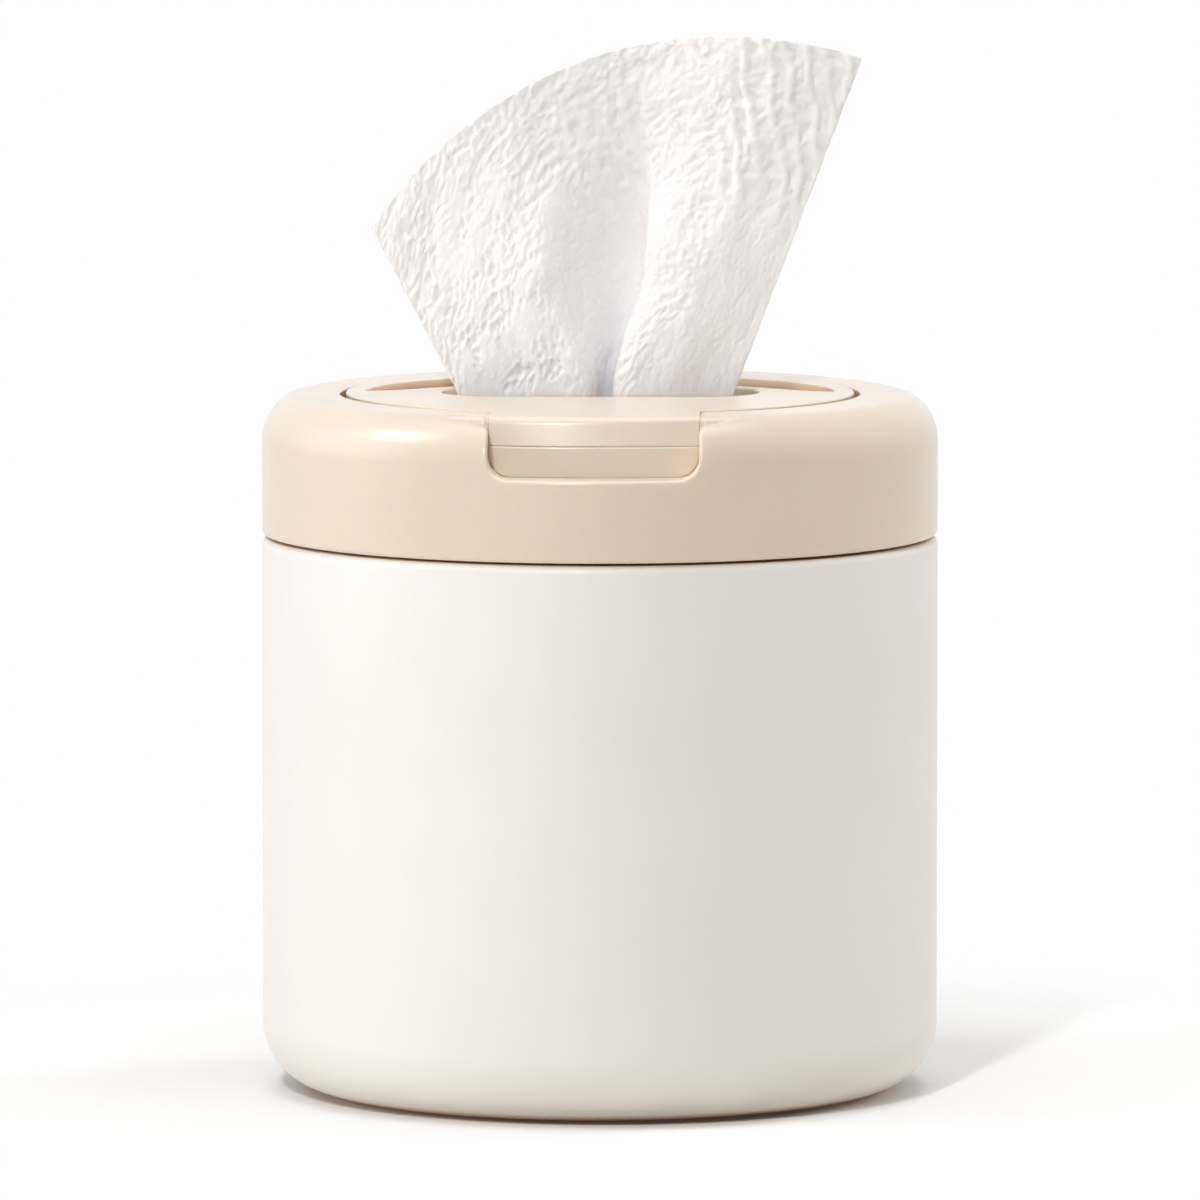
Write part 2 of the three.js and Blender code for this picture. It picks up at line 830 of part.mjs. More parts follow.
// The folds, by share of the cloth's width: where each point lies between the sheet's two edges, and
// how far it stands back of them, at the slot, where the folds are deepest, and at the free edge.
const clothShares = [0, 0.1, 0.22, 0.34, 0.4, 0.47, 0.55, 0.61, 0.65, 0.72, 0.82, 0.92, 1];
const slotShares = {
  across: [0, 0.12, 0.28, 0.43, 0.488, 0.535, 0.6, 0.6, 0.564, 0.62, 0.76, 0.9, 1],
  back: [0.1, -0.15, -0.5, -0.85, -0.75, 0.1, 0.95, 0.4, -0.55, -1, -0.75, -0.1, 0.25],
};
const deepShares = {
  across: [0, 0.11, 0.235, 0.35, 0.4, 0.47, 0.565, 0.62, 0.635, 0.71, 0.83, 0.93, 1],
  back: [0.15, -0.1, -0.45, -0.8, -0.75, 0, 0.85, 0.7, -0.2, -0.9, -0.55, 0.15, 0],
};
const edgeShares = {
  across: clothShares,
  back: [0.3, 0, -0.5, -0.8, -0.6, 0.2, 0.8, 0.7, 0.3, -0.6, -0.8, 0, 0.4],
};

// A smooth curve through the values, at one share of the cloth's width.
function through(values, share) {
  const last = clothShares.length - 1;
  const i = Math.min(last - 1, Math.max(0, clothShares.findIndex((s) => s > share) - 1));
  const k = share >= 1 ? last - 1 : i;
  const slope = (j) => {
    const [before, after] = [Math.max(0, j - 1), Math.min(last, j + 1)];
    return (values[after] - values[before]) / (clothShares[after] - clothShares[before]);
  };
  const run = clothShares[k + 1] - clothShares[k];
  const t = (share - clothShares[k]) / run;
  const [t2, t3] = [t * t, t * t * t];
  return (
    (2 * t3 - 3 * t2 + 1) * values[k] +
    (t3 - 2 * t2 + t) * run * slope(k) +
    (3 * t2 - 2 * t3) * values[k + 1] +
    (t3 - t2) * run * slope(k + 1)
  );
}

// A point of the free edge, which is an arc from tip to tip.
function freeEdge(share) {
  const chord = rightTip.clone().sub(leftTip);
  const half = chord.length() / 2;
  const middle = leftTip.clone().add(rightTip).multiplyScalar(0.5);
  const drop = Math.sqrt(freeEdgeRadius ** 2 - half ** 2);
  const down = at(chord.y, -chord.x).normalize();
  const centre = middle.clone().addScaledVector(down, drop);
  const spread = Math.asin(half / freeEdgeRadius);
  const turn = (2 * share - 1) * spread;
  return down
    .clone()
    .multiplyScalar(-freeEdgeRadius)
    .rotateAround(at(0, 0), -turn)
    .add(centre);
}

// One point's place across and back, part of the way from one level's folds to the next.
function folded(share, lower, upper, part) {
  const eased = THREE.MathUtils.smoothstep(part, 0, 1);
  const mix = (key) =>
    THREE.MathUtils.lerp(through(lower[key], share), through(upper[key], share), eased);
  return { across: mix("across"), back: mix("back") };
}

function sheetPoint(share, row) {
  const tail = tailShares.length;
  if (row < tail) {
    const [z, half, foldShare] = tailShares[row];
    const { across, back } = folded(share, slotShares, slotShares, 0);
    const centre = ((slotLeft + slotRight) * (z - tailBottom)) / (2 * (topHeight - tailBottom));
    return new THREE.Vector3(
      centre + half * (2 * across - 1),
      foldShare * gripHalfWidth * back,
      z,
    );
  }
  const up = (row - tail) / fanRows;
  const rising = up < fullFoldShare;
  const part = rising ? up / fullFoldShare : (up - fullFoldShare) / (1 - fullFoldShare);
  const { across, back } = rising
    ? folded(share, slotShares, deepShares, part)
    : folded(share, deepShares, edgeShares, part);
  const fold = rising
    ? THREE.MathUtils.lerp(lipFold, fullFold, part)
    : THREE.MathUtils.lerp(fullFold, edgeFold, part);
  const base = at(THREE.MathUtils.lerp(slotLeft, slotRight, across), topHeight);
  const place = base.lerp(freeEdge(across), up);
  return new THREE.Vector3(place.x, fold * back, place.y);
}

// A grid of points thickened to both sides into a closed sheet.
function thickened(rows, thickness) {
  const [down, across] = [rows.length, rows[0].length];
  const normal = (i, j) => {
    const along = rows[i][Math.min(j + 1, across - 1)].clone().sub(rows[i][Math.max(j - 1, 0)]);
    const up = rows[Math.min(i + 1, down - 1)][j].clone().sub(rows[Math.max(i - 1, 0)][j]);
    return along.cross(up).normalize();
  };
  const places = [];
  for (const side of [0.5, -0.5])
    rows.forEach((row, i) =>
      row.forEach((point, j) => {
        places.push(...point.clone().addScaledVector(normal(i, j), side * thickness));
      }),
    );
  const front = (i, j) => i * across + j;
  const back = (i, j) => down * across + front(i, j);
  const faces = [];
  const quad = (a, b, c, d) => faces.push(a, b, c, a, c, d);
  for (let i = 0; i < down - 1; i++)
    for (let j = 0; j < across - 1; j++) {
      quad(front(i, j), front(i, j + 1), front(i + 1, j + 1), front(i + 1, j));
      quad(back(i, j), back(i + 1, j), back(i + 1, j + 1), back(i, j + 1));
    }
  for (let j = 0; j < across - 1; j++) {
    quad(front(0, j), back(0, j), back(0, j + 1), front(0, j + 1));
    quad(front(down - 1, j), front(down - 1, j + 1), back(down - 1, j + 1), back(down - 1, j));
  }
  for (let i = 0; i < down - 1; i++) {
    quad(front(i, 0), front(i + 1, 0), back(i + 1, 0), back(i, 0));
    quad(
      front(i, across - 1),
      back(i, across - 1),
      back(i + 1, across - 1),
      front(i + 1, across - 1),
    );
  }
  const geometry = new THREE.BufferGeometry();
  geometry.setAttribute("position", new THREE.Float32BufferAttribute(places, 3));
  geometry.setIndex(faces);
  return solid(geometry);
}

function wipeSheet() {
  const count = tailShares.length + fanRows + 1;
  const rows = Array.from({ length: count }, (_, row) =>
    Array.from({ length: sheetColumns + 1 }, (_, j) => sheetPoint(j / sheetColumns, row)),
  );
  return thickened(rows, sheetThickness);
}

// The next sheet, still on the roll: it follows the pulled one at its top, and lies against the
// wall of the bore at its foot.
const nextLength = 40;
const nextRows = 6;
const nextColumns = 16;
const nextSpread = radians(80);

function nextWipe() {
  const top = tailBottom - fit;
  const wallRadius = rollBore - fit - sheetThickness;
  const [, half, foldShare] = tailShares[0];
  const fold = foldShare * gripHalfWidth;
  const rows = Array.from({ length: nextRows + 1 }, (_, i) =>
    Array.from({ length: nextColumns + 1 }, (_, j) => {
      const share = j / nextColumns;
      const blend = 1 - THREE.MathUtils.smoothstep(i / nextRows, 0, 1);
      const angle = nextSpread * (2 * share - 1);
      const { across, back } = folded(share, slotShares, slotShares, 0);
      const x = THREE.MathUtils.lerp(half * (2 * across - 1), wallRadius * Math.sin(angle), blend);
      const y = THREE.MathUtils.lerp(fold * back, wallRadius * Math.cos(angle), blend);
      return new THREE.Vector3(x, y, top - nextLength * (1 - i / nextRows));
    }),
  );
  return thickened(rows, sheetThickness);
}

// The assembly, by what moves together

function canisterGroup() {
  const group = new THREE.Group();
  group.add(
    piece("canister_shell", canisterShell(), finishes.body),
    piece("foot_ring", footRing(), finishes.foot),
    piece("lid_gasket", gasket(), finishes.soft),
    piece("wipes_roll", roll(), finishes.paper),
    piece("next_wipe", nextWipe(), finishes.paper),
  );
  return group;
}

function lidGroup() {
  const group = new THREE.Group();
  group.add(
    piece("lid_shell", lidShell(), finishes.lid),
    piece("lid_frame", lidFrame(), finishes.inner),
    piece(
      "hinge_pin",
      postX(
        hingeY,
        hingeZ,
        pinRadius,
        -pocketHalfWidth - pinBoss + runningGap,
        pocketHalfWidth + pinBoss - runningGap,
      ),
      finishes.steel,
    ),
  );

  const headSeat = ledgeHeight - frameThickness - fit;
  const frameScrew = screw(collarBottom + screwGrip - fit - headSeat);
  screwAngles.forEach((angle, i) => {
    const mesh = piece("frame_screw_" + (i + 1), frameScrew, finishes.steel);
    mesh.position.set(screwCircle * Math.cos(angle), screwCircle * Math.sin(angle), headSeat);
    group.add(mesh);
  });

  const hingeCoil = new CoilPath(
    hingeSpringRadius,
    2 * hingeSpringHalf,
    hingeTurns,
    floorLeg,
    panelLeg,
  );
  const hingeSpring = piece("hinge_spring", spring(hingeCoil, hingeWire), finishes.steel);
  hingeSpring.position.set(-hingeSpringHalf, hingeY, hingeZ);
  group.add(hingeSpring);

  const coilRun = buttonSpringLength - 2 * buttonWire;
  const buttonCoil = new CoilPath(buttonSpringRadius, coilRun, buttonTurns, 0, 0);
  [-springX, springX].forEach((x, i) => {
    const mesh = piece("button_spring_" + (i + 1), spring(buttonCoil, buttonWire), finishes.steel);
    mesh.rotation.z = -Math.PI / 2;
    mesh.position.set(x, channelBack - fit - buttonWire, springZ);
    group.add(mesh);
  });
  return group;
}

function panelGroup() {
  const group = new THREE.Group();
  group.add(
    piece("flip_panel", flipPanel(), finishes.lid),
    piece("panel_seal", panelSeal(), finishes.soft),
    piece("wipe_membrane", membrane(), finishes.soft),
    piece("membrane_retainer", retainer(), finishes.inner),
    piece("wipe_sheet", wipeSheet(), finishes.paper),
  );
  const headSeat = retainerBase - fit;
  const retainerScrew = screw(underPanel + retainerGrip - fit - headSeat);
  retainerScrews.forEach(([x, y], i) => {
    const mesh = piece("retainer_screw_" + (i + 1), retainerScrew, finishes.steel);
    mesh.position.set(x, y, headSeat);
    group.add(mesh);
  });
  return group;
}

const dispenser = new THREE.Group();
dispenser.add(
  canisterGroup(),
  lidGroup(),
  panelGroup(),
  piece("release_button", releaseButton(), finishes.lid),
);

export default dispenser;
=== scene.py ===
import math

import bpy
import numpy as np
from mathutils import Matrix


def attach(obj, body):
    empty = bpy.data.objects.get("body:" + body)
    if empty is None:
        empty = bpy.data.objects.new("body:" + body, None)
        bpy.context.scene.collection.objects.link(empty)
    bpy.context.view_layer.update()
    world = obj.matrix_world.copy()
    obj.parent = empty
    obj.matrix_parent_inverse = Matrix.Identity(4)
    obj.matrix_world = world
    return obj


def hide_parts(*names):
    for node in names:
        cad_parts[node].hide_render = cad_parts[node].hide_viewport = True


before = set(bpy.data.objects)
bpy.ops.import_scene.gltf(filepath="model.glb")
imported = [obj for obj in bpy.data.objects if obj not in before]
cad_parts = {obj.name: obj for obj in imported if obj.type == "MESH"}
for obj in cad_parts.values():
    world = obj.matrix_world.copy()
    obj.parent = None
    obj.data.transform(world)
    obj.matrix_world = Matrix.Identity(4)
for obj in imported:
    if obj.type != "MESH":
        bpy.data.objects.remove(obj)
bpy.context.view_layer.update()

# Lengths are in millimetres up to where a mesh is made.
MM = 0.001

# Heights and radii, as in the frame
TOP = 165.5
LID_BOTTOM = 132.25
SHELF = 131.75
OUTER = 80.0
WALL = 2.6
GROOVE = 61.5
PANEL = 60.1
LEDGE = 159.1
UNDER_PANEL = 161.3
NOTCH_FACE = -71.0
FACE_RADIUS = 110.0
NOTCH_HALF = 24.5
NOTCH_FLOOR = 151.5
NOTCH_CORNER = 5.0
TAB_BOTTOM = 158.7
BROW_EDGE = 1.7  # the round top edge of the tab's face
FIT = 0.3
SLIT = 0.02  # the gap that shows beside the tab and round the button


# Materials

EVEN = (1, 1, 1)  # a grain that isn't stretched
NOISE_REACH = (0.3, 0.7)  # between these lie nearly all values of the noise


def node_material(name, colour, roughness):
    material = bpy.data.materials.new(name)
    material.use_nodes = True
    nodes = material.node_tree.nodes
    shader = nodes["Principled BSDF"]
    shader.inputs["Base Color"].default_value = (*colour, 1)
    shader.inputs["Roughness"].default_value = roughness
    return material, shader


def linear(red, green, blue):
    """A colour given in sRGB steps of 255."""
    steps = [value / 255 for value in (red, green, blue)]
    return tuple(
        s / 12.92 if s <= 0.04045 else ((s + 0.055) / 1.055) ** 2.4 for s in steps
    )


def object_noise(material, scale, detail, stretch=EVEN):
    """Noise that is fixed to the piece, with scale features to about a metre."""
    nodes, links = material.node_tree.nodes, material.node_tree.links
    place = nodes.new("ShaderNodeTexCoord")
    mapping = nodes.new("ShaderNodeMapping")
    mapping.inputs["Scale"].default_value = stretch
    noise = nodes.new("ShaderNodeTexNoise")
    noise.inputs["Scale"].default_value = scale
    noise.inputs["Detail"].default_value = detail
    links.new(place.outputs["Object"], mapping.inputs["Vector"])
    links.new(mapping.outputs["Vector"], noise.inputs["Vector"])
    return noise.outputs["Fac"]


def add_tone(material, shader, colour, spread, scale, detail=3):
    """Slow variation of the colour about its middle."""
    nodes, links = material.node_tree.nodes, material.node_tree.links
    ramp = nodes.new("ShaderNodeValToRGB")
    darker, lighter = ramp.color_ramp.elements
    darker.position, lighter.position = NOISE_REACH
    darker.color = (*[c * (1 - spread) for c in colour], 1)
    lighter.color = (*[min(1, c * (1 + spread)) for c in colour], 1)
    links.new(object_noise(material, scale, detail), ramp.inputs["Fac"])
    links.new(ramp.outputs["Color"], shader.inputs["Base Color"])


def add_roughness(material, shader, low, high, scale):
    """Roughness that varies between low and high over the surface."""
    nodes, links = material.node_tree.nodes, material.node_tree.links
    spread = nodes.new("ShaderNodeMapRange")
    spread.inputs["From Min"].default_value = NOISE_REACH[0]
    spread.inputs["From Max"].default_value = NOISE_REACH[1]
    spread.inputs["To Min"].default_value = low
    spread.inputs["To Max"].default_value = high
    links.new(object_noise(material, scale, 4), spread.inputs["Value"])
    links.new(spread.outputs["Result"], shader.inputs["Roughness"])


def add_bump(material, shader, layers):
    """Bumps over each other, each (scale, detail, stretch, height in millimetres)."""
    nodes, links = material.node_tree.nodes, material.node_tree.links
    below = None
    for scale, detail, stretch, height in layers:
        bump = nodes.new("ShaderNodeBump")
        bump.inputs["Strength"].default_value = 1
        bump.inputs["Distance"].default_value = height * MM
        links.new(object_noise(material, scale, detail, stretch), bump.inputs["Height"])
        if below:
            links.new(below, bump.inputs["Normal"])
        below = bump.outputs["Normal"]
    links.new(below, shader.inputs["Normal"])


GAP_SHADE_REACH = 4.0  # how far away a face may be to make a gap that gets painted shade
GAP_SHADE_OPENNESS = (0.1, 0.5)  # how open the air is in a gap, and where the painted shade has gone


def add_painted_gap_shade(material, shader, shade_tint):
    """Painted shade: where ambient occlusion finds a narrow gap, the base colour is mixed towards a
    darker, warmer tint.
    """
    nodes, links = material.node_tree.nodes, material.node_tree.links
    open_air = nodes.new("ShaderNodeAmbientOcclusion")
    open_air.samples = 8
    open_air.inputs["Distance"].default_value = GAP_SHADE_REACH * MM
    share = nodes.new("ShaderNodeMapRange")
    share.inputs["From Min"].default_value = GAP_SHADE_OPENNESS[0]
    share.inputs["From Max"].default_value = GAP_SHADE_OPENNESS[1]
    share.inputs["To Min"].default_value = 1
    share.inputs["To Max"].default_value = 0
    links.new(open_air.outputs["AO"], share.inputs["Value"])
    # painted shade: the base colour turns to the darker warm tint where the gap is closed
    mix = nodes.new("ShaderNodeMix")
    mix.data_type = "RGBA"
    links.new(share.outputs["Result"], mix.inputs["Factor"])
    links.new(shader.inputs["Base Color"].links[0].from_socket, mix.inputs["A"])
    mix.inputs["B"].default_value = (*shade_tint, 1)
    links.new(mix.outputs["Result"], shader.inputs["Base Color"])


def satin_plastic(name, colour, roughness, shade_tint, coat=0.0, depth=0.0):
    """Moulded plastic, with painted shade in its narrow gaps. Its coat is its gloss, and light runs
    to its depth in millimetres.
    """
    material, shader = node_material(name, colour, roughness)
    add_tone(material, shader, colour, 0.012, 45)
    add_roughness(material, shader, roughness - 0.03, roughness + 0.04, 220)
    add_bump(material, shader, [(900, 2, EVEN, 0.012), (3200, 1, EVEN, 0.006)])
    shader.inputs["Specular IOR Level"].default_value = 0.4
    shader.inputs["Coat Weight"].default_value = coat
    shader.inputs["Coat Roughness"].default_value = 0.22
    # painted shade in narrow gaps
    add_painted_gap_shade(material, shader, shade_tint)
    if depth:
        shader.inputs["Subsurface Weight"].default_value = 0.4
        shader.inputs["Subsurface Radius"].default_value = (1, 0.5, 0.22)
        shader.inputs["Subsurface Scale"].default_value = depth * MM
    return material


def rubber(name, colour):
    material, shader = node_material(name, colour, 0.6)
    add_tone(material, shader, colour, 0.05, 90)
    add_bump(material, shader, [(1500, 3, EVEN, 0.02)])
    return material


def bright_steel(name):
    colour = linear(198, 200, 203)
    material, shader = node_material(name, colour, 0.28)
    shader.inputs["Metallic"].default_value = 1
    add_tone(material, shader, colour, 0.06, 300)
    add_roughness(material, shader, 0.22, 0.36, 900)
    add_bump(material, shader, [(1800, 2, (1, 1, 0.15), 0.008)])
    return material


def nonwoven(name):
    colour = linear(248, 248, 250)
    material, shader = node_material(name, colour, 0.92)
    add_tone(material, shader, colour, 0.02, 260, 5)
    add_bump(
        material,
        shader,
        [(420, 4, (1, 1, 0.6), 0.16), (1500, 3, (1, 1, 0.3), 0.06)],
    )
    shader.inputs["Specular IOR Level"].default_value = 0.15
    shader.inputs["Sheen Weight"].default_value = 0.15
    shader.inputs["Sheen Roughness"].default_value = 0.6
    shader.inputs["Subsurface Weight"].default_value = 0.4
    shader.inputs["Subsurface Radius"].default_value = (1, 1, 1)
    shader.inputs["Subsurface Scale"].default_value = 0.6 * MM
    return material


# The second colour of each pair is painted shade, a darker warmer tint mixed into narrow gaps where
# they lie in shade.
OFF_WHITE, OFF_WHITE_GAP_SHADE = linear(239, 236, 232), linear(206, 156, 100)
BEIGE, BEIGE_GAP_SHADE = linear(226, 211, 195), linear(224, 184, 130)
INNER_BEIGE = linear(228, 212, 194)
BODY_PLASTIC = satin_plastic("canister_satin", OFF_WHITE, 0.4, OFF_WHITE_GAP_SHADE)
LID_PLASTIC = satin_plastic("lid_satin", BEIGE, 0.32, BEIGE_GAP_SHADE, coat=0.42, depth=2.6)
INNER_PLASTIC = satin_plastic("inner_satin", INNER_BEIGE, 0.5, BEIGE_GAP_SHADE)
SEAL_RUBBER = rubber("seal_matte", linear(203, 178, 146))
FOOT_RUBBER = rubber("foot_matte", linear(142, 134, 121))
STEEL = bright_steel("steel_bright")
WIPE_CLOTH = nonwoven("wipe_nonwoven")


# Meshes


def make_piece(name, points, faces, material, body, slot, node, normals=None, sharp=None):
    """A piece on a body, which stands for a node. Points are in millimetres, sharp in degrees."""
    mesh = bpy.data.meshes.new(name)
    faces = faces.tolist() if isinstance(faces, np.ndarray) else faces
    mesh.from_pydata((np.asarray(points) * MM).tolist(), [], faces)
    mesh.polygons.foreach_set("use_smooth", [True] * len(mesh.polygons))
    mesh.validate()
    if normals is not None:
        mesh.normals_split_custom_set_from_vertices(normals.tolist())
    if sharp is not None:
        mesh.set_sharp_from_angle(angle=math.radians(sharp))
    mesh.update()
    piece = bpy.data.objects.new(name, mesh)
    bpy.context.scene.collection.objects.link(piece)
    mesh.materials.append(material)
    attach(piece, body)
    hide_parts(node)
    return piece


def arc(centre, radius, start, end, steps):
    """Points on an arc, from one angle to another in degrees."""
    angles = np.radians(np.linspace(start, end, steps + 1))
    return [
        (centre[0] + radius * math.cos(a), centre[1] + radius * math.sin(a)) for a in angles
    ]


def lathe(profile, sides):
    """A closed profile of radius and height that starts and ends on the axis, turned round."""
    ring_count = len(profile) - 2
    angles = np.arange(sides) * 2 * math.pi / sides
    radius = np.array([p[0] for p in profile[1:-1]])
    height = np.array([p[1] for p in profile[1:-1]])
    x = np.outer(radius, np.cos(angles))
    y = np.outer(radius, np.sin(angles))
    z = np.outer(height, np.ones(sides))
    points = np.stack([x, y, z], -1).reshape(-1, 3)
    first, last = len(points), len(points) + 1
    points = np.vstack([points, [[0, 0, profile[0][1]], [0, 0, profile[-1][1]]]])
    faces = []
    for i in range(ring_count - 1):
        for j in range(sides):
            k = (j + 1) % sides
            faces.append(
                (i * sides + j, i * sides + k, (i + 1) * sides + k, (i + 1) * sides + j)
            )
    top = (ring_count - 1) * sides
    for j in range(sides):
        k = (j + 1) % sides
        faces.append((first, k, j))
        faces.append((last, top + j, top + k))
    return points, faces


# Solids by distance: a solid is a function of place that is negative inside it.


def rounded(a, b, radius):
    """The part that two solids share, with a round edge."""
    reach = np.hypot(np.maximum(a + radius, 0), np.maximum(b + radius, 0))
    return np.minimum(np.maximum(a, b), -radius) + reach


def blended(a, b, radius):
    """Two solids joined, with a fillet."""
    return -rounded(-a, -b, radius)


def common(*solids):
    """The part that all the solids share."""
    return np.maximum.reduce(np.broadcast_arrays(*solids))


def ease(low, high, value):
    """A smooth rise from 0 at low to 1 at high."""
    t = np.clip((value - low) / (high - low), 0, 1)
    return t * t * (3 - 2 * t)


def slab(value, low, high):
    """All that lies between two flat faces."""
    return np.abs(value - (low + high) / 2) - (high - low) / 2


def round_rectangle(x, y, half_x, half_y, corner):
    """An upright bar with rounded corners, about the middle."""
    across = np.abs(x) - half_x + corner
    along = np.abs(y) - half_y + corner
    outside = np.hypot(np.maximum(across, 0), np.maximum(along, 0))
    return outside + np.minimum(np.maximum(across, along), 0) - corner


def spaced(*stretches):
    """Grid lines from stretches of (start, end, spacing)."""
    lines = [np.linspace(a, b, int(round((b - a) / step)) + 1)[:-1] for a, b, step in stretches]
    return np.concatenate(lines + [[stretches[-1][1]]])


def slope(distance, points, step=0.04):
    """How a solid's distance rises in x, y and z at each point."""
    columns = []
    for axis in range(3):
        offset = np.zeros(3)
        offset[axis] = step
        ahead, behind = points + offset, points - offset
        columns.append((distance(*ahead.T) - distance(*behind.T)) / (2 * step))
    return np.stack(columns, 1)


SKIN_MOVES = 4
FURTHEST_MOVE = 0.5
LEAST_STEEPNESS = 0.3


def skin(distance, *axes):
    """The closed surface of a solid, as quads over a grid, moved onto the solid's exact surface."""
    depth = distance(*np.meshgrid(*axes, indexing="ij"))
    cells = tuple(len(line) - 1 for line in axes)
    owners, crossings, quads = [], [], []
    for axis in range(3):
        low, high = [slice(None)] * 3, [slice(None)] * 3
        low[axis], high[axis] = slice(0, -1), slice(1, None)
        start, end = depth[tuple(low)], depth[tuple(high)]
        found = np.argwhere((start < 0) != (end < 0))
        a, b = start[tuple(found.T)], end[tuple(found.T)]
        spot = np.stack([axes[k][found[:, k]] for k in range(3)], 1).astype(float)
        spot[:, axis] += (axes[axis][found[:, axis] + 1] - spot[:, axis]) * a / (a - b)
        p, q = (axis + 1) % 3, (axis + 2) % 3
        corners = []
        for dp, dq in ((-1, -1), (0, -1), (0, 0), (-1, 0)):
            cell = found.copy()
            cell[:, p] += dp
            cell[:, q] += dq
            corners.append(np.ravel_multi_index(cell.T, cells))
            owners.append(corners[-1])
            crossings.append(spot)
        quad = np.stack(corners, 1)
        quads.append(np.where((a < 0)[:, None], quad, quad[:, ::-1]))
    owner = np.concatenate(owners)
    used, place = np.unique(owner, return_inverse=True)
    spots = np.concatenate(crossings)
    count = np.bincount(place)
    points = np.stack([np.bincount(place, spots[:, k]) / count for k in range(3)], 1)
    for _ in range(SKIN_MOVES):
        rise = slope(distance, points)
        steep = np.maximum((rise * rise).sum(1), LEAST_STEEPNESS)
        away = np.clip(distance(*points.T), -FURTHEST_MOVE, FURTHEST_MOVE)
        points -= (away / steep)[:, None] * rise
    normals = slope(distance, points)
    normals /= np.maximum(np.linalg.norm(normals, axis=1), 1e-9)[:, None]
    faces = np.searchsorted(used, np.concatenate(quads))
    return points, faces, normals


def moulded(name, distance, axes, body, node):
    """A piece of the lid's plastic, with the shape that a distance function gives."""
    points, faces, normals = skin(distance, *axes)
    return make_piece(
        name, points, faces, LID_PLASTIC, body, "lid_plastic", node, normals=normals
    )


# Canister


def canister_profile():
    """Half the canister's section, from the hollow under its foot to its floor inside."""
    foot_inner, foot_outer = 52.0, 60.0  # the foot ring's seat
    base, hollow, seat = 0.5, 2.1, 1.4
    fillet, edge = 16.0, 2.0
    neck, neck_top = 74.5, 146.2
    groove_base, groove_top, groove_depth = 138.3, 141.7, 0.6  # the gasket's groove
    floor = 5.5
    wall_heights = (45, 75, 105)  # points that split the long wall
    centre = (OUTER - fillet, base + fillet)
    inner = fillet - WALL
    floor_angle = -math.degrees(math.asin((centre[1] - floor) / inner))
    small = 0.4
    return [
        (0, base + hollow),
        (10, base + hollow),
        *arc((foot_inner - WALL - small, base + hollow - small), small, 90, 0, 3),
        *arc((foot_inner - WALL + small, base + small), small, 180, 270, 3),
        (foot_inner, base),
        (foot_inner, base + seat),
        (foot_outer, base + seat),
        (foot_outer, base),
        *arc(centre, fillet, -90, 0, 28),
        *[(OUTER, height) for height in wall_heights],
        *arc((OUTER - edge, SHELF - edge), edge, 0, 90, 8),
        *arc((neck + small, SHELF + small), small, 270, 180, 3),
        (neck, groove_base),
        (neck - groove_depth, groove_base),
        (neck - groove_depth, groove_top),
        (neck, groove_top),
        *arc((neck - small, neck_top - small), small, 0, 90, 4),
        *arc((neck - WALL + small, neck_top - small), small, 90, 180, 4),
        (neck - WALL, SHELF - WALL),
        (OUTER - WALL, SHELF - WALL - edge),
        *arc(centre, inner, 0, floor_angle, 20),
        (30, floor),
        (0, floor),
    ]


make_piece(
    "canister",
    *lathe(canister_profile(), 192),
    BODY_PLASTIC,
    "canister",
    "canister_plastic",
    "canister_shell",
    sharp=40,
)


# Lid

SHOULDER = 11.85
CREST = 72.7  # the radius where the shoulder meets the flat top
SHOULDER_X = OUTER - SHOULDER
SHOULDER_Z = TOP - math.sqrt(SHOULDER**2 - (CREST - SHOULDER_X) ** 2)
COLLAR_BOTTOM = LEDGE + FIT
COLLAR_WALL = 2.2
COLLAR_OUTER = GROOVE + COLLAR_WALL
LID_SKIN = 2.5
CHANNEL_BACK = -54.7
HINGE_Y, HINGE_Z = 64.5, 162.7
CLOSED_GROOVE = 0.15  # the groove's width beside the tongue
CLOSING = (-44, -56)  # where it starts to narrow, and where it is that narrow
BLOCK_SIDE, BLOCK_SKIN = 4, 2.4  # the plastic beside the notch, and below and behind it
POST_X, POST_Y, POST_RADIUS = 58.02, 33.5, 3.2  # the posts for the frame's screws
LUG_X, LUG_Y = (22.4, 27.4), (60.9, 68.1)  # the lugs that hold the hinge's pin
POST_TOP = TOP - 1.25
FLARE_RISE, FLARE_RUN = 2.3, 15.0  # how the flat top falls towards the notch's corners
POCKET_Y, POCKET_HALF_X, POCKET_HALF_Y = 62.6, 22.4, 5.7  # room for the hinge


def shoulder(r, z, inset):
    """The lid's wall and round shoulder, or the faces that lie so far inside them."""
    rise = z - SHOULDER_Z
    curve = np.where(r > SHOULDER_X, np.hypot(r - SHOULDER_X, rise), rise)
    return np.where(rise > 0, curve, r - SHOULDER_X) - (SHOULDER - inset)


TAB_LEAN = 0.25  # how far the tab's face falls back for each millimetre of its height


def behind_faces(x, y, z, top=TOP):
    """All that lies behind the curved faces in the notch, up to their round top edge."""
    front = np.hypot(x, y - NOTCH_FACE - FACE_RADIUS) - FACE_RADIUS
    return rounded(front, z - top, BROW_EDGE)


def behind_tab(x, y, z, top=TOP):
    """All that lies behind the tab's leaning face."""
    return behind_faces(x, y - TAB_LEAN * (z - TAB_BOTTOM), z, top)


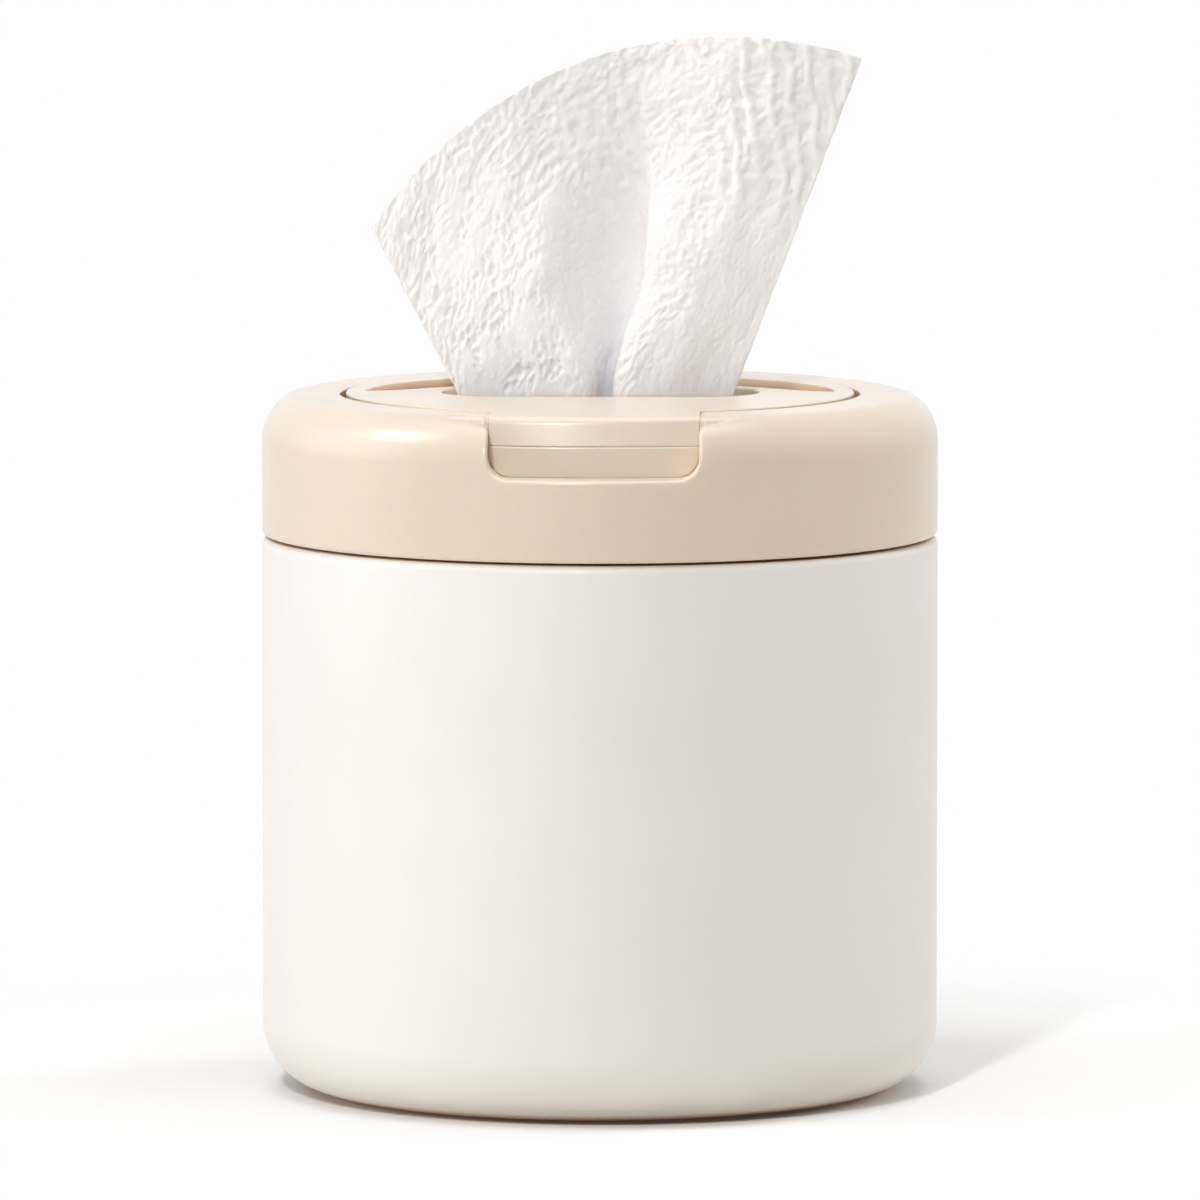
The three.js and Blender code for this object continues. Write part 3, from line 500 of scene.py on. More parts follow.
def lid_distance(x, y, z):
    r = np.hypot(x, y)
    wide = np.abs(x)
    crest_edge, lower_edge, lip, inner_edge, fillet = 0.8, 1.0, 0.5, 0.5, 1.5
    notch_edge, pocket_edge, pocket_corner = 0.9, 0.7, 1.0
    outer = rounded(shoulder(r, z, 0), z - TOP, crest_edge)
    outer = rounded(outer, LID_BOTTOM - z, lower_edge)
    close = (GROOVE - PANEL - CLOSED_GROOVE) * ease(*CLOSING, y)
    body = rounded(outer, GROOVE - close - r, lip)
    inner = shoulder(r, z, WALL)
    under_top = common(inner, z - (TOP - LID_SKIN), COLLAR_OUTER - r)
    hollow = np.minimum(under_top, common(inner, z - COLLAR_BOTTOM))
    shell = rounded(body, -hollow, inner_edge)
    well = common(r - GROOVE + close, LEDGE - z)
    block = common(
        outer,
        wide - NOTCH_HALF - BLOCK_SIDE,
        y - (CHANNEL_BACK + BLOCK_SKIN),
        NOTCH_FLOOR - BLOCK_SKIN - z,
        -well,
    )
    upright = slab(z, COLLAR_BOTTOM, POST_TOP)
    posts = common(np.hypot(wide - POST_X, np.abs(y) - POST_Y) - POST_RADIUS, upright)
    lugs = common(slab(wide, *LUG_X), slab(y, *LUG_Y), upright, -well)
    whole = np.minimum(np.minimum(shell, block), np.minimum(posts, lugs))
    channel = common(rounded(wide - NOTCH_HALF, NOTCH_FLOOR - z, NOTCH_CORNER), y - CHANNEL_BACK)
    flare = FLARE_RISE * (wide - NOTCH_HALF) - FLARE_RUN * (z - TOP + FLARE_RISE)
    flare = flare / math.hypot(FLARE_RISE, FLARE_RUN)
    before = -behind_tab(x, y, z)
    flare = common(flare, before, y + GROOVE)
    notch = blended(common(channel, before), flare, fillet)
    pocket_plan = round_rectangle(
        x, y - POCKET_Y, POCKET_HALF_X, POCKET_HALF_Y, pocket_corner
    )
    pocket = common(pocket_plan, LEDGE - z)
    notched = common(rounded(whole, -notch, notch_edge), -channel)
    return rounded(notched, -pocket, pocket_edge)


# The grids are finest where narrow gaps and small edges show.
LID_GRID = (
    spaced(
        (-81.6, -38, 1.0),
        (-38, -24.8, 0.62),
        (-24.8, -24.3, 0.07),
        (-24.3, 24.3, 0.62),
        (24.3, 24.8, 0.07),
        (24.8, 38, 0.62),
        (38, 81.6, 1.0),
    ),
    spaced((-81.6, -50, 0.62), (-50, 55, 1.15), (55, 81.6, 0.85)),
    spaced(
        (131.75, 135, 0.45),
        (135, 148, 1.1),
        (148, 154, 0.6),
        (154, 161, 0.8),
        (161, 165.3, 0.43),
        (165.3, 165.7, 0.06),
        (165.7, 166.3, 0.3),
    ),
)
moulded("lid", lid_distance, LID_GRID, "lid", "lid_shell")


# Flip panel

SLOT_X, SLOT_Y, SLOT_CORNER = 37.5, 15.5, 14.0
PANEL_PROUD = 0.3  # how far the panel stands above the ring round it
PANEL_SKIN = 2.2
PANEL_INSIDE = 57.9  # the radius inside the panel's rim
TONGUE_HALF = NOTCH_HALF - SLIT
TAB_SIDE = 24.1  # half the tab's width, as in the frame
TAB_BACK = NOTCH_FACE + FACE_RADIUS - math.sqrt(FACE_RADIUS**2 - TAB_SIDE**2) + PANEL_SKIN
BARREL_X, BARREL_RADIUS = (8, 22), 2.8  # the hinge's two barrels, on the pin
LATCH_ROOM_X, LATCH_ROOM_BACK = 9.2, -54.8  # room in the tongue for the button's latch
CATCH_HALF, CATCH_BACK, CATCH_HEIGHT = 7, -60.6, 1.3
# The crescent recess lies between an undercut far wall, on an ellipse, and the level part round
# the slot, whose sides come forward by RIM_X for each RIM_Y across.
RECESS_DEPTH, RECESS_EDGE, RECESS_TIP = 2.0, 0.3, 4.0
FAR_WALL, FAR_STRETCH, FAR_OVERHANG = 55.3, 1.15, 0.7
RIM_X, RIM_Y, RIM_REACH = 17.5, 22, 900
LEVEL_BACK, LEVEL_CORNER = 19, 6.0
RECESS_FRONT = -0.5


def panel_distance(x, y, z):
    r = np.hypot(x, y)
    wide = np.abs(x)
    rim_edge, lower_edge, tab_edge, tongue_edge, slot_edge = 0.4, 0.5, 0.12, 0.4, 0.6
    deck_back, under_back, arm_front, catch_overlap = -50, -45, 55, 1.1
    # The panel rises from the ring's level at the tab's face to its full height at its rim.
    top = TOP + PANEL_PROUD * ease(NOTCH_FACE + 1, 2 - PANEL, y)
    disc = rounded(rounded(r - PANEL, z - top, rim_edge), COLLAR_BOTTOM - z, lower_edge)
    disc = common(disc, -common(r - PANEL_INSIDE, z - UNDER_PANEL))

    front = behind_tab(x, y, z, top)
    tab = common(rounded(front, TAB_BOTTOM - z, tab_edge), y - TAB_BACK)
    deck = common(front, y - deck_back, COLLAR_BOTTOM - z)
    between = slab(y, TAB_BACK, under_back)
    under = common(wide - TONGUE_HALF + PANEL_SKIN, between, z - UNDER_PANEL)
    tongue = common(np.minimum(tab, deck), wide - TONGUE_HALF)
    tongue = rounded(tongue, -under, tongue_edge)

    barrel = np.hypot(y - HINGE_Y, z - HINGE_Z) - BARREL_RADIUS
    barrel = common(barrel, slab(wide, *BARREL_X))
    arm = common(slab(wide, *BARREL_X), slab(y, arm_front, HINGE_Y), slab(z, UNDER_PANEL, TOP))
    whole = np.minimum(np.minimum(disc, tongue), np.minimum(barrel, arm))
    latch_room = slab(y, TAB_BACK, LATCH_ROOM_BACK)
    latch_room = common(wide - LATCH_ROOM_X, latch_room, z - UNDER_PANEL)
    catch = common(
        wide - CATCH_HALF,
        slab(y, TAB_BACK - catch_overlap, CATCH_BACK),
        slab(z, TAB_BOTTOM, TAB_BOTTOM + CATCH_HEIGHT),
    )
    whole = np.minimum(common(whole, -latch_room), catch)

    slot = round_rectangle(x, y, SLOT_X, SLOT_Y, SLOT_CORNER)
    level = (RIM_X * wide + RIM_Y * y - RIM_REACH) / math.hypot(RIM_X, RIM_Y)
    level = rounded(level, y - LEVEL_BACK, LEVEL_CORNER)
    far = np.hypot(x, FAR_STRETCH * y) - FAR_WALL - FAR_OVERHANG * (top - z)
    far = far / math.hypot(1, FAR_OVERHANG)
    crescent = common(far, rounded(RECESS_FRONT - y, -level, RECESS_TIP))
    recess = rounded(crescent, TOP - RECESS_DEPTH - z, RECESS_EDGE)
    return rounded(rounded(whole, -recess, RECESS_EDGE), -slot, slot_edge)


PANEL_GRID = (
    spaced(
        (-61.6, -24.7, 0.8),
        (-24.7, -24.2, 0.07),
        (-24.2, 24.2, 0.8),
        (24.2, 24.7, 0.07),
        (24.7, 61.6, 0.8),
    ),
    spaced((-71.8, -66.4, 0.36), (-66.4, -58, 0.7), (-58, 68.4, 0.8)),
    spaced(
        (158.2, 158.6, 0.2),
        (158.6, 158.8, 0.04),
        (158.8, 159.4, 0.3),
        (159.4, 163, 0.6),
        (163, 165.2, 0.37),
        (165.2, 166.2, 0.1),
    ),
)
moulded("panel", panel_distance, PANEL_GRID, "panel", "flip_panel")


# Button

BUTTON_GAP = 0.06  # between the tab and the button
BUTTON_PROUD = 0.25  # how far the button's top edge stands in front of the tab
BUTTON_LEAN = 0.045  # and how far its face comes forward for each millimetre below there
BUTTON_BACK, BUTTON_EDGE = -57.6, 0.4
FINGER_HALF, FINGER_DEPTH, FINGER_HEIGHTS = 7, 1.4, (155, 161)  # the latch, at its back
NOSE_DEPTH, NOSE_HEIGHTS = 2.7, (159.9, 161)  # the latch's nose, just behind the catch
SPRING_X, SPRING_Z, BORE_RADIUS, BORE_FRONT = 14, 154.9, 2.6, 9  # the springs' bores


def button_distance(x, y, z):
    wide = np.abs(x)
    drop = TAB_BOTTOM - z
    outline = rounded(wide - TONGUE_HALF, NOTCH_FLOOR + SLIT - z, NOTCH_CORNER - SLIT)
    front = behind_faces(x, y + BUTTON_PROUD + BUTTON_LEAN * drop, z)
    block = common(outline, rounded(BUTTON_GAP - drop, front, BUTTON_EDGE), y - BUTTON_BACK)
    finger = slab(y, BUTTON_BACK - FINGER_DEPTH, BUTTON_BACK)
    finger = common(wide - FINGER_HALF, finger, slab(z, *FINGER_HEIGHTS))
    nose = slab(y, BUTTON_BACK - NOSE_DEPTH, BUTTON_BACK)
    nose = common(wide - FINGER_HALF, nose, slab(z, *NOSE_HEIGHTS))
    bores = np.hypot(wide - SPRING_X, z - SPRING_Z) - BORE_RADIUS
    bores = common(bores, NOTCH_FACE + BORE_FRONT - y)
    return common(np.minimum(block, np.minimum(finger, nose)), -bores)


BUTTON_GRID = (
    spaced((-25, -24.2, 0.08), (-24.2, 24.2, 0.5), (24.2, 25, 0.08)),
    spaced((-72.2, -67.7, 0.25), (-67.7, -57.2, 0.9)),
    spaced(
        (151.3, 151.8, 0.06),
        (151.8, 153.2, 0.35),
        (153.2, 157.8, 0.7),
        (157.8, 158.5, 0.2),
        (158.5, 158.8, 0.04),
        (158.8, 161.5, 0.3),
    ),
)
moulded("button", button_distance, BUTTON_GRID, "button", "release_button")


# Wipes

WIPE_WIDTH = 140.0
CLOTH_THICKNESS = 0.5
TAIL_BOTTOM = 135.8
LEFT_TIP = np.array([-54.1, TOP + 38.9])
RIGHT_TIP = np.array([62.0, TOP + 79.1])
FREE_EDGE = 100.0  # the radius of the free edge's arc
SLOT_LEFT, SLOT_RIGHT = -34.0, 31.6  # where the wipe leaves the slot

# The folds at three heights: at the slot, where they are deepest, and from near the free edge on.
# Each row gives where a share of the cloth's width lies, across the fan and back from it.
DEEPEST_UP, EDGE_UP = 0.35, 0.85
FOLDS = {"slot": 8.5, "deep": 10.5, "edge": 4.5}
SHARES = np.array([0, 0.1, 0.22, 0.34, 0.4, 0.47, 0.55, 0.61, 0.65, 0.72, 0.82, 0.92, 1])
ACROSS = {
    "slot": [0, 0.12, 0.28, 0.43, 0.488, 0.535, 0.6, 0.6, 0.564, 0.62, 0.76, 0.9, 1],
    "deep": [0, 0.11, 0.235, 0.35, 0.4, 0.47, 0.58, 0.645, 0.64, 0.71, 0.83, 0.93, 1],
    "edge": SHARES,
}
BACK = {
    "slot": [0.1, -0.15, -0.5, -0.8, -0.75, 0.1, 0.95, 0.4, -0.5, -0.85, -0.8, -0.6, -0.5],
    "deep": [0.15, -0.1, -0.4, -0.6, -0.5, 0, 0.65, 0.5, -0.25, -0.6, -0.6, -0.45, -0.35],
    "edge": [0.3, 0, -0.35, -0.5, -0.4, -0.1, 0.3, 0.4, 0.25, -0.1, -0.4, -0.1, 0.2],
}


def through(values, share):
    """A smooth curve through the values, at shares of the cloth's width."""
    values = np.asarray(values, float)
    before = np.maximum(np.arange(len(SHARES)) - 1, 0)
    after = np.minimum(np.arange(len(SHARES)) + 1, len(SHARES) - 1)
    slopes = (values[after] - values[before]) / (SHARES[after] - SHARES[before])
    k = np.clip(np.searchsorted(SHARES, share, side="right") - 1, 0, len(SHARES) - 2)
    run = SHARES[k + 1] - SHARES[k]
    t = (share - SHARES[k]) / run
    return (
        (2 * t**3 - 3 * t**2 + 1) * values[k]
        + (t**3 - 2 * t**2 + t) * run * slopes[k]
        + (3 * t**2 - 2 * t**3) * values[k + 1]
        + (t**3 - t**2) * run * slopes[k + 1]
    )


def free_edge(share):
    """Places on the arc of the free edge, from its left tip to its right one."""
    chord = RIGHT_TIP - LEFT_TIP
    half = np.hypot(*chord) / 2
    down = np.array([chord[1], -chord[0]]) / (2 * half)
    centre = (LEFT_TIP + RIGHT_TIP) / 2 + down * math.sqrt(FREE_EDGE**2 - half**2)
    turn = -(2 * share - 1) * math.asin(half / FREE_EDGE)
    x = -FREE_EDGE * (down[0] * np.cos(turn) - down[1] * np.sin(turn))
    z = -FREE_EDGE * (down[0] * np.sin(turn) + down[1] * np.cos(turn))
    return centre[0] + x, centre[1] + z


def fan(share, up):
    """The pulled sheet above the slot: up is 0 at the slot and 1 at the free edge."""
    low = ease(0, DEEPEST_UP, up)
    high = ease(DEEPEST_UP, EDGE_UP, up)
    weights = {"slot": 1 - low, "deep": low * (1 - high), "edge": low * high}
    across = sum(w * through(ACROSS[k], share) for k, w in weights.items())
    back = sum(w * through(BACK[k], share) for k, w in weights.items())
    fold = sum(w * FOLDS[k] for k, w in weights.items())
    x0, z0 = SLOT_LEFT + (SLOT_RIGHT - SLOT_LEFT) * across, TOP
    x1, z1 = free_edge(across)
    return x0 + (x1 - x0) * up, fold * back, z0 + (z1 - z0) * up


# The tail from the perforation up through the membrane to the slot: heights, half widths, folds.
TAIL_Z = [135.8, 145.8, 157.6, 159.8, 161.3, 165.5]
TAIL_HALF = [16.5, 19.0, 30.3, 30.6, 30.9, 32.8]
TAIL_FOLD = [4.47, 4.99, 5.59, 6.19, 6.79, 8.5]


def tail(share, z):
    """The gathered sheet below the slot's top."""
    across, back = through(ACROSS["slot"], share), through(BACK["slot"], share)
    centre = (SLOT_LEFT + SLOT_RIGHT) * (z - TAIL_BOTTOM) / (2 * (TOP - TAIL_BOTTOM))
    half, fold = np.interp(z, TAIL_Z, TAIL_HALF), np.interp(z, TAIL_Z, TAIL_FOLD)
    return centre + half * (2 * across - 1), fold * back, z


class Lattice:
    """Seeded random values on a grid, for noise and for the embossed cells."""

    gain = 1.5  # brings the noise to about 1
    unset = 9.0  # further than any cell's middle

    def __init__(self, seed, size=128):
        self.table = np.random.RandomState(seed).rand(size, size, 3)
        self.size = size

    def value(self, i, j, channel=0):
        """The random value at a place of the grid, which repeats."""
        return self.table[i % self.size, j % self.size, channel]

    def noise(self, a, b):
        """Smooth noise between about -1 and 1, with features of about one unit."""
        i, j = np.floor(a).astype(int), np.floor(b).astype(int)
        total = 0
        for di in (0, 1):
            for dj in (0, 1):
                turn = 2 * math.pi * self.value(i + di, j + dj)
                x, y = a - i - di, b - j - dj
                u, v = 1 - np.abs(x), 1 - np.abs(y)
                weight = u**3 * (u * (6 * u - 15) + 10) * v**3 * (v * (6 * v - 15) + 10)
                total = total + weight * (np.cos(turn) * x + np.sin(turn) * y)
        return self.gain * total

    def cells(self, a, b, jitter):
        """Pillows with creases between them, from 0 in a crease to about 1 on a pillow."""
        i0, j0 = np.floor(a).astype(int), np.floor(b).astype(int)
        first = np.full(a.shape, self.unset)
        second = np.full(a.shape, self.unset)
        lift = np.zeros(a.shape)
        for di in (-1, 0, 1):
            for dj in (-1, 0, 1):
                i, j = i0 + di, j0 + dj
                x = i + 0.5 + jitter * (self.value(i, j, 0) - 0.5) + 0.5 * (j % 2)
                y = j + 0.5 + jitter * (self.value(i, j, 1) - 0.5)
                apart = np.hypot(a - x, b - y)
                nearer = apart < first
                second = np.where(nearer, first, np.minimum(second, apart))
                lift = np.where(nearer, self.value(i, j, 2), lift)
                first = np.where(nearer, apart, first)
        pillow = ease(0, 0.5, second - first) * (1 - 0.35 * first)
        return pillow * lift


def billow(seed, a, b):
    """Puffs with sharp creases between them, from 0 to about 1."""
    return np.abs(Lattice(seed).noise(a, b))


def ridge(seed, a, b):
    """Sharp crests, from about 0 to 1."""
    return (1 - np.abs(Lattice(seed).noise(a, b))) ** 2


def wipe_relief(share, up, along, a):
    """Height of the emboss and of the soft wrinkles, over the folded sheet.

    The distance along runs down the sheet from its free edge, and a runs across it from its
    middle. They are divided by the size of a noise's features, in millimetres too.
    """
    drift_a, drift_b = Lattice(3).noise(a / 12, along / 12), Lattice(4).noise(a / 12, along / 12)
    wa, wb = a + 1.6 * drift_a, along + 1.6 * drift_b
    patch = Lattice(9).noise(a / 24, along / 20)
    mottle = Lattice(15).noise(a / 8, along / 8)

    # Which parts of the sheet are embossed, and which are ribbed
    left = 1 - ease(0.33, 0.41, share + 0.03 * patch)
    right = ease(0.63, 0.68, share) * (1 - ease(0.80, 0.93, share + 0.3 * (0.55 - up)))
    top = ease(0.55, 0.8, up + 0.08 * patch)
    embossed = np.clip(left + right + top, 0, 1)
    lower_left = left * (1 - ease(0.35, 0.6, up + 0.1 * patch))
    middle_ribs = ease(0.5, 0.62, up) * (1 - ease(0.8, 0.93, up))
    middle_ribs = middle_ribs * ease(0.42, 0.46, share) * (1 - ease(0.6, 0.64, share))
    right_ribs = ease(0.48, 0.66, up) * ease(0.75, 0.8, share)

    # The reliefs themselves
    puffs = billow(5, wa / 4.3, wb / 3.4) + 0.55 * billow(16, wa / 2.3, wb / 1.9)
    creases = ridge(17, wa / 5, wb / 3.8) + 0.5 * ridge(18, wa / 2.6, wb / 2.6)
    squares = Lattice(6).cells(wa / 3.5, wb / 3.1, 0.3)
    pebbles = Lattice(21).cells(wa / 2.9, wb / 2.9, 0.9)
    lean = a - 0.3 * along + 2.0 * drift_a + 1.1 * mottle
    rib_pitch = 5.4
    crest = 1 - np.abs(2 * np.mod(lean / rib_pitch, 1) - 1)
    beads = billow(19, a / rib_pitch, along / 4.2)
    ribs = ease(0.1, 0.7, crest) * (0.25 + 1.3 * beads)
    grain = ridge(7, wa / 1.9, wb / 2.3) + 0.6 * Lattice(8).noise(a / 1.0, along / 1.2)

    # How strong each is
    strength = np.clip(0.9 + 0.4 * patch + 0.45 * mottle, 0.35, 1.6)
    rib_part = np.clip(middle_ribs + right_ribs, 0, 1)
    height = embossed * strength * (1 - 0.4 * rib_part) * (0.72 * puffs + 0.28 * creases)
    height = height * (1 + 0.4 * top) * (1 - 0.5 * left)
    height = height + 0.75 * left * pebbles * ease(-0.5, 0.1, patch + mottle)
    height = height + 0.35 * lower_left * squares * ease(-0.25, 0.2, patch + mottle)
    height = height + 1.1 * rib_part * ribs
    height = height + (0.16 - 0.07 * embossed) * grain
    height = height + 0.3 * (1 - embossed) * ridge(20, wa / 6, wb / 12)
    return height + 0.4 * Lattice(10).noise(a / 9, along / 16)


def facing(places):
    """The way that a grid of places faces at each of them."""
    normal = np.cross(np.gradient(places, axis=1), np.gradient(places, axis=0))
    return normal / np.linalg.norm(normal, axis=2)[..., None]


def thick_sheet(places):
    """A grid of places as a closed sheet: points and faces."""
    down, across = places.shape[:2]
    half = facing(places) * CLOTH_THICKNESS / 2
    points = np.concatenate([(places + half).reshape(-1, 3), (places - half).reshape(-1, 3)])
    grid = np.arange(down * across).reshape(down, across)
    other = grid + down * across

    def quads(a, b, c, d):
        return np.stack([a.ravel(), b.ravel(), c.ravel(), d.ravel()], 1)

    faces = [
        quads(grid[:-1, :-1], grid[:-1, 1:], grid[1:, 1:], grid[1:, :-1]),
        quads(other[:-1, :-1], other[1:, :-1], other[1:, 1:], other[:-1, 1:]),
        quads(grid[0, :-1], other[0, :-1], other[0, 1:], grid[0, 1:]),
        quads(grid[-1, :-1], grid[-1, 1:], other[-1, 1:], other[-1, :-1]),
        quads(grid[:-1, 0], grid[1:, 0], other[1:, 0], other[:-1, 0]),
        quads(grid[:-1, -1], other[:-1, -1], other[1:, -1], grid[1:, -1]),
    ]
    return points, np.concatenate(faces)


def wipe_places():
    """The wipe's middle surface, from the perforation up to the free edge."""
    share = np.linspace(0, 1, 341)
    tail_rows = np.linspace(TAIL_BOTTOM, TOP, 50)[:-1]
    fan_rows = np.linspace(0, 1, 216)
    rows = [np.stack(np.broadcast_arrays(*tail(share, z)), 1) for z in tail_rows]
    rows += [np.stack(np.broadcast_arrays(*fan(share, up)), 1) for up in fan_rows]
    places = np.stack(rows)
    steps = np.linalg.norm(np.diff(places, axis=0), axis=2)
    along = np.vstack([np.zeros(len(share)), np.cumsum(steps, axis=0)])
    along = along[-1] - along
    steps = np.linalg.norm(np.diff(places, axis=1), axis=2)
    across = np.hstack([np.zeros((len(places), 1)), np.cumsum(steps, axis=1)])
    across = (across - across[:, [len(share) // 2]] + WIPE_WIDTH * (share - 0.5)) / 2
    up = np.concatenate([np.zeros(len(tail_rows)), fan_rows])[:, None]
    share = np.broadcast_to(share, along.shape)
    # The membrane and the slot press the relief down to a part of its height.
    pressed = 0.15
    free = ease(TOP - 3, TOP + 6, places[..., 2])
    relief = wipe_relief(share, up, along, across) * (pressed + (1 - pressed) * free)
    return places - facing(places) * relief[..., None]


wipe = make_piece(
    "wipe",
    *thick_sheet(wipe_places()),
    WIPE_CLOTH,
    "panel",
    "wipe_nonwoven",
    "wipe_sheet",
)


ROLL_BORE, ROLL_RADIUS, ROLL_BASE, ROLL_TOP = 22.0, 66.0, 5.8, 145.8


def next_wipe_places():
    """The next wipe, which rises from the wall of the roll's bore and gathers to the tail."""
    top, length, bore = TAIL_BOTTOM - FIT, 40.0, ROLL_BORE - FIT - 0.6
    half_turn = math.radians(80)  # how far round the bore it lies, to each side
    cell, relief_height, jitter = 2.4, 0.3, 0.8
    share = np.linspace(0, 1, 161)
    down = 61
    rows = []
    for t in np.linspace(0, 1, down):
        blend = 1 - ease(0, 1, t)
        angle = half_turn * (2 * share - 1)
        across, back = through(ACROSS["slot"], share), through(BACK["slot"], share)
        x = TAIL_HALF[0] * (2 * across - 1) * (1 - blend) + bore * np.sin(angle) * blend
        y = TAIL_FOLD[0] * back * (1 - blend) + bore * np.cos(angle) * blend
        z = np.full(share.shape, top - length * (1 - t))
        rows.append(np.stack([x, y, z], 1))
    places = np.stack(rows)
    a, b = np.meshgrid(share * WIPE_WIDTH / cell, np.linspace(0, length, down) / cell)
    relief = relief_height * Lattice(12).cells(a, b, jitter)
    return places + facing(places) * relief[..., None]


next_wipe = make_piece(
    "next_wipe_cloth",
    *thick_sheet(next_wipe_places()),
    WIPE_CLOTH,
    "canister",
    "wipe_nonwoven",
    "next_wipe",
)


def roll_mesh():
    """The wound roll: spiral layers on its two ends, and embossed cloth round it."""
    bore, radius, base, top = ROLL_BORE, ROLL_RADIUS, ROLL_BASE, ROLL_TOP
    pitch, row, sides = 1.1, 1.5, 160
    turns = 2 * math.pi * np.arange(sides) / sides
    ends = np.arange(bore, radius + 0.01, pitch / 4)
    heights = np.arange(base + row, top - 1, row)
    loops = []
    phase = turns / (2 * math.pi)

    def end_loop(r, level, sign):
        """A ring on an end, sunk between the layers; sign is 1 on top and -1 below."""
        wave = np.abs(np.sin(math.pi * ((r - bore) / pitch - phase)))
        wobble = 0.25 * Lattice(13).noise(r / 2.2 + 0 * turns, turns * 9)
        return np.full(sides, r), level - sign * (0.15 + 0.55 * (1 - wave) ** 2 + wobble * 0.3)

    for r in ends:
        loops.append(end_loop(r, top, 1))
    for z in heights[::-1]:
        bump = 0.3 * Lattice(14).cells(turns * radius / 3, np.full(sides, z / 2.6), 0.8)
        loops.append((radius - 0.35 + bump, np.full(sides, z)))
    for r in ends[::-1]:
        loops.append(end_loop(r, base, -1))
    for z in heights:
        loops.append((np.full(sides, bore + 0.05), np.full(sides, z)))
    points = np.concatenate(
        [np.stack([r * np.cos(turns), r * np.sin(turns), z], 1) for r, z in loops]
    )
    grid = np.arange(len(loops) * sides).reshape(len(loops), sides)
    below = np.roll(grid, -1, axis=0)
    faces = np.stack(
        [grid, below, np.roll(below, -1, axis=1), np.roll(grid, -1, axis=1)], 2
    ).reshape(-1, 4)
    return points, faces


make_piece(
    "roll", *roll_mesh(), WIPE_CLOTH, "canister", "wipe_nonwoven", "wipes_roll"
)


# The frame's own pieces that stay, with their materials

KEPT = {
    "foot_ring": FOOT_RUBBER,
    "lid_gasket": SEAL_RUBBER,
    "panel_seal": SEAL_RUBBER,
    "wipe_membrane": SEAL_RUBBER,
    "lid_frame": INNER_PLASTIC,
    "membrane_retainer": INNER_PLASTIC,
    "hinge_pin": STEEL,
    "hinge_spring": STEEL,
    "button_spring_1": STEEL,
    "button_spring_2": STEEL,
}
for i in range(1, 5):
    KEPT[f"frame_screw_{i}"] = STEEL
    KEPT[f"retainer_screw_{i}"] = STEEL
for node, material in KEPT.items():
    for material_slot in bpy.data.objects[node].material_slots:
        material_slot.material = material


# Floor, backdrop, lights and camera

WHITE = (1, 1, 1)
WORLD_LIGHT = 0.055
FLOOR_REACH = 12.0  # in metres, as are all lengths from here on
FLOOR_PAINT = (0.84, 0.8, 0.74)  # what the floor throws back onto the object
FLOOR_SEEN = (0.95, 0.95, 0.95)  # and what the camera sees of it
FLOOR_FADE = (0.1, 0.26)  # from the middle, where the shadow starts to fade, and where it ends
FLOOR_GLOW = 0.03


def camera_ray(nodes, links):
    """1 for what the camera sees, straight or in a gloss or through glass."""
    path = nodes.new("ShaderNodeLightPath")
    highest = None
    for name in ("Is Camera Ray", "Is Glossy Ray", "Is Transmission Ray"):
        if highest is None:
            highest = path.outputs[name]
            continue
        larger = nodes.new("ShaderNodeMath")
        larger.operation = "MAXIMUM"
        links.new(highest, larger.inputs[0])
        links.new(path.outputs[name], larger.inputs[1])
        highest = larger.outputs[0]
    return highest


def white_world():
    """A faint even light, which the camera sees as white."""
    world = bpy.data.worlds.new("studio")
    bpy.context.scene.world = world
    world.use_nodes = True
    nodes, links = world.node_tree.nodes, world.node_tree.links
    light = nodes["Background"]
    light.inputs["Color"].default_value = (*WHITE, 1)
    light.inputs["Strength"].default_value = WORLD_LIGHT
    seen = nodes.new("ShaderNodeBackground")
    seen.inputs["Color"].default_value = (*WHITE, 1)
    seen.inputs["Strength"].default_value = 1
    mix = nodes.new("ShaderNodeMixShader")
    links.new(camera_ray(nodes, links), mix.inputs["Fac"])
    links.new(light.outputs["Background"], mix.inputs[1])
    links.new(seen.outputs["Background"], mix.inputs[2])
    links.new(mix.outputs["Shader"], nodes["World Output"].inputs["Surface"])


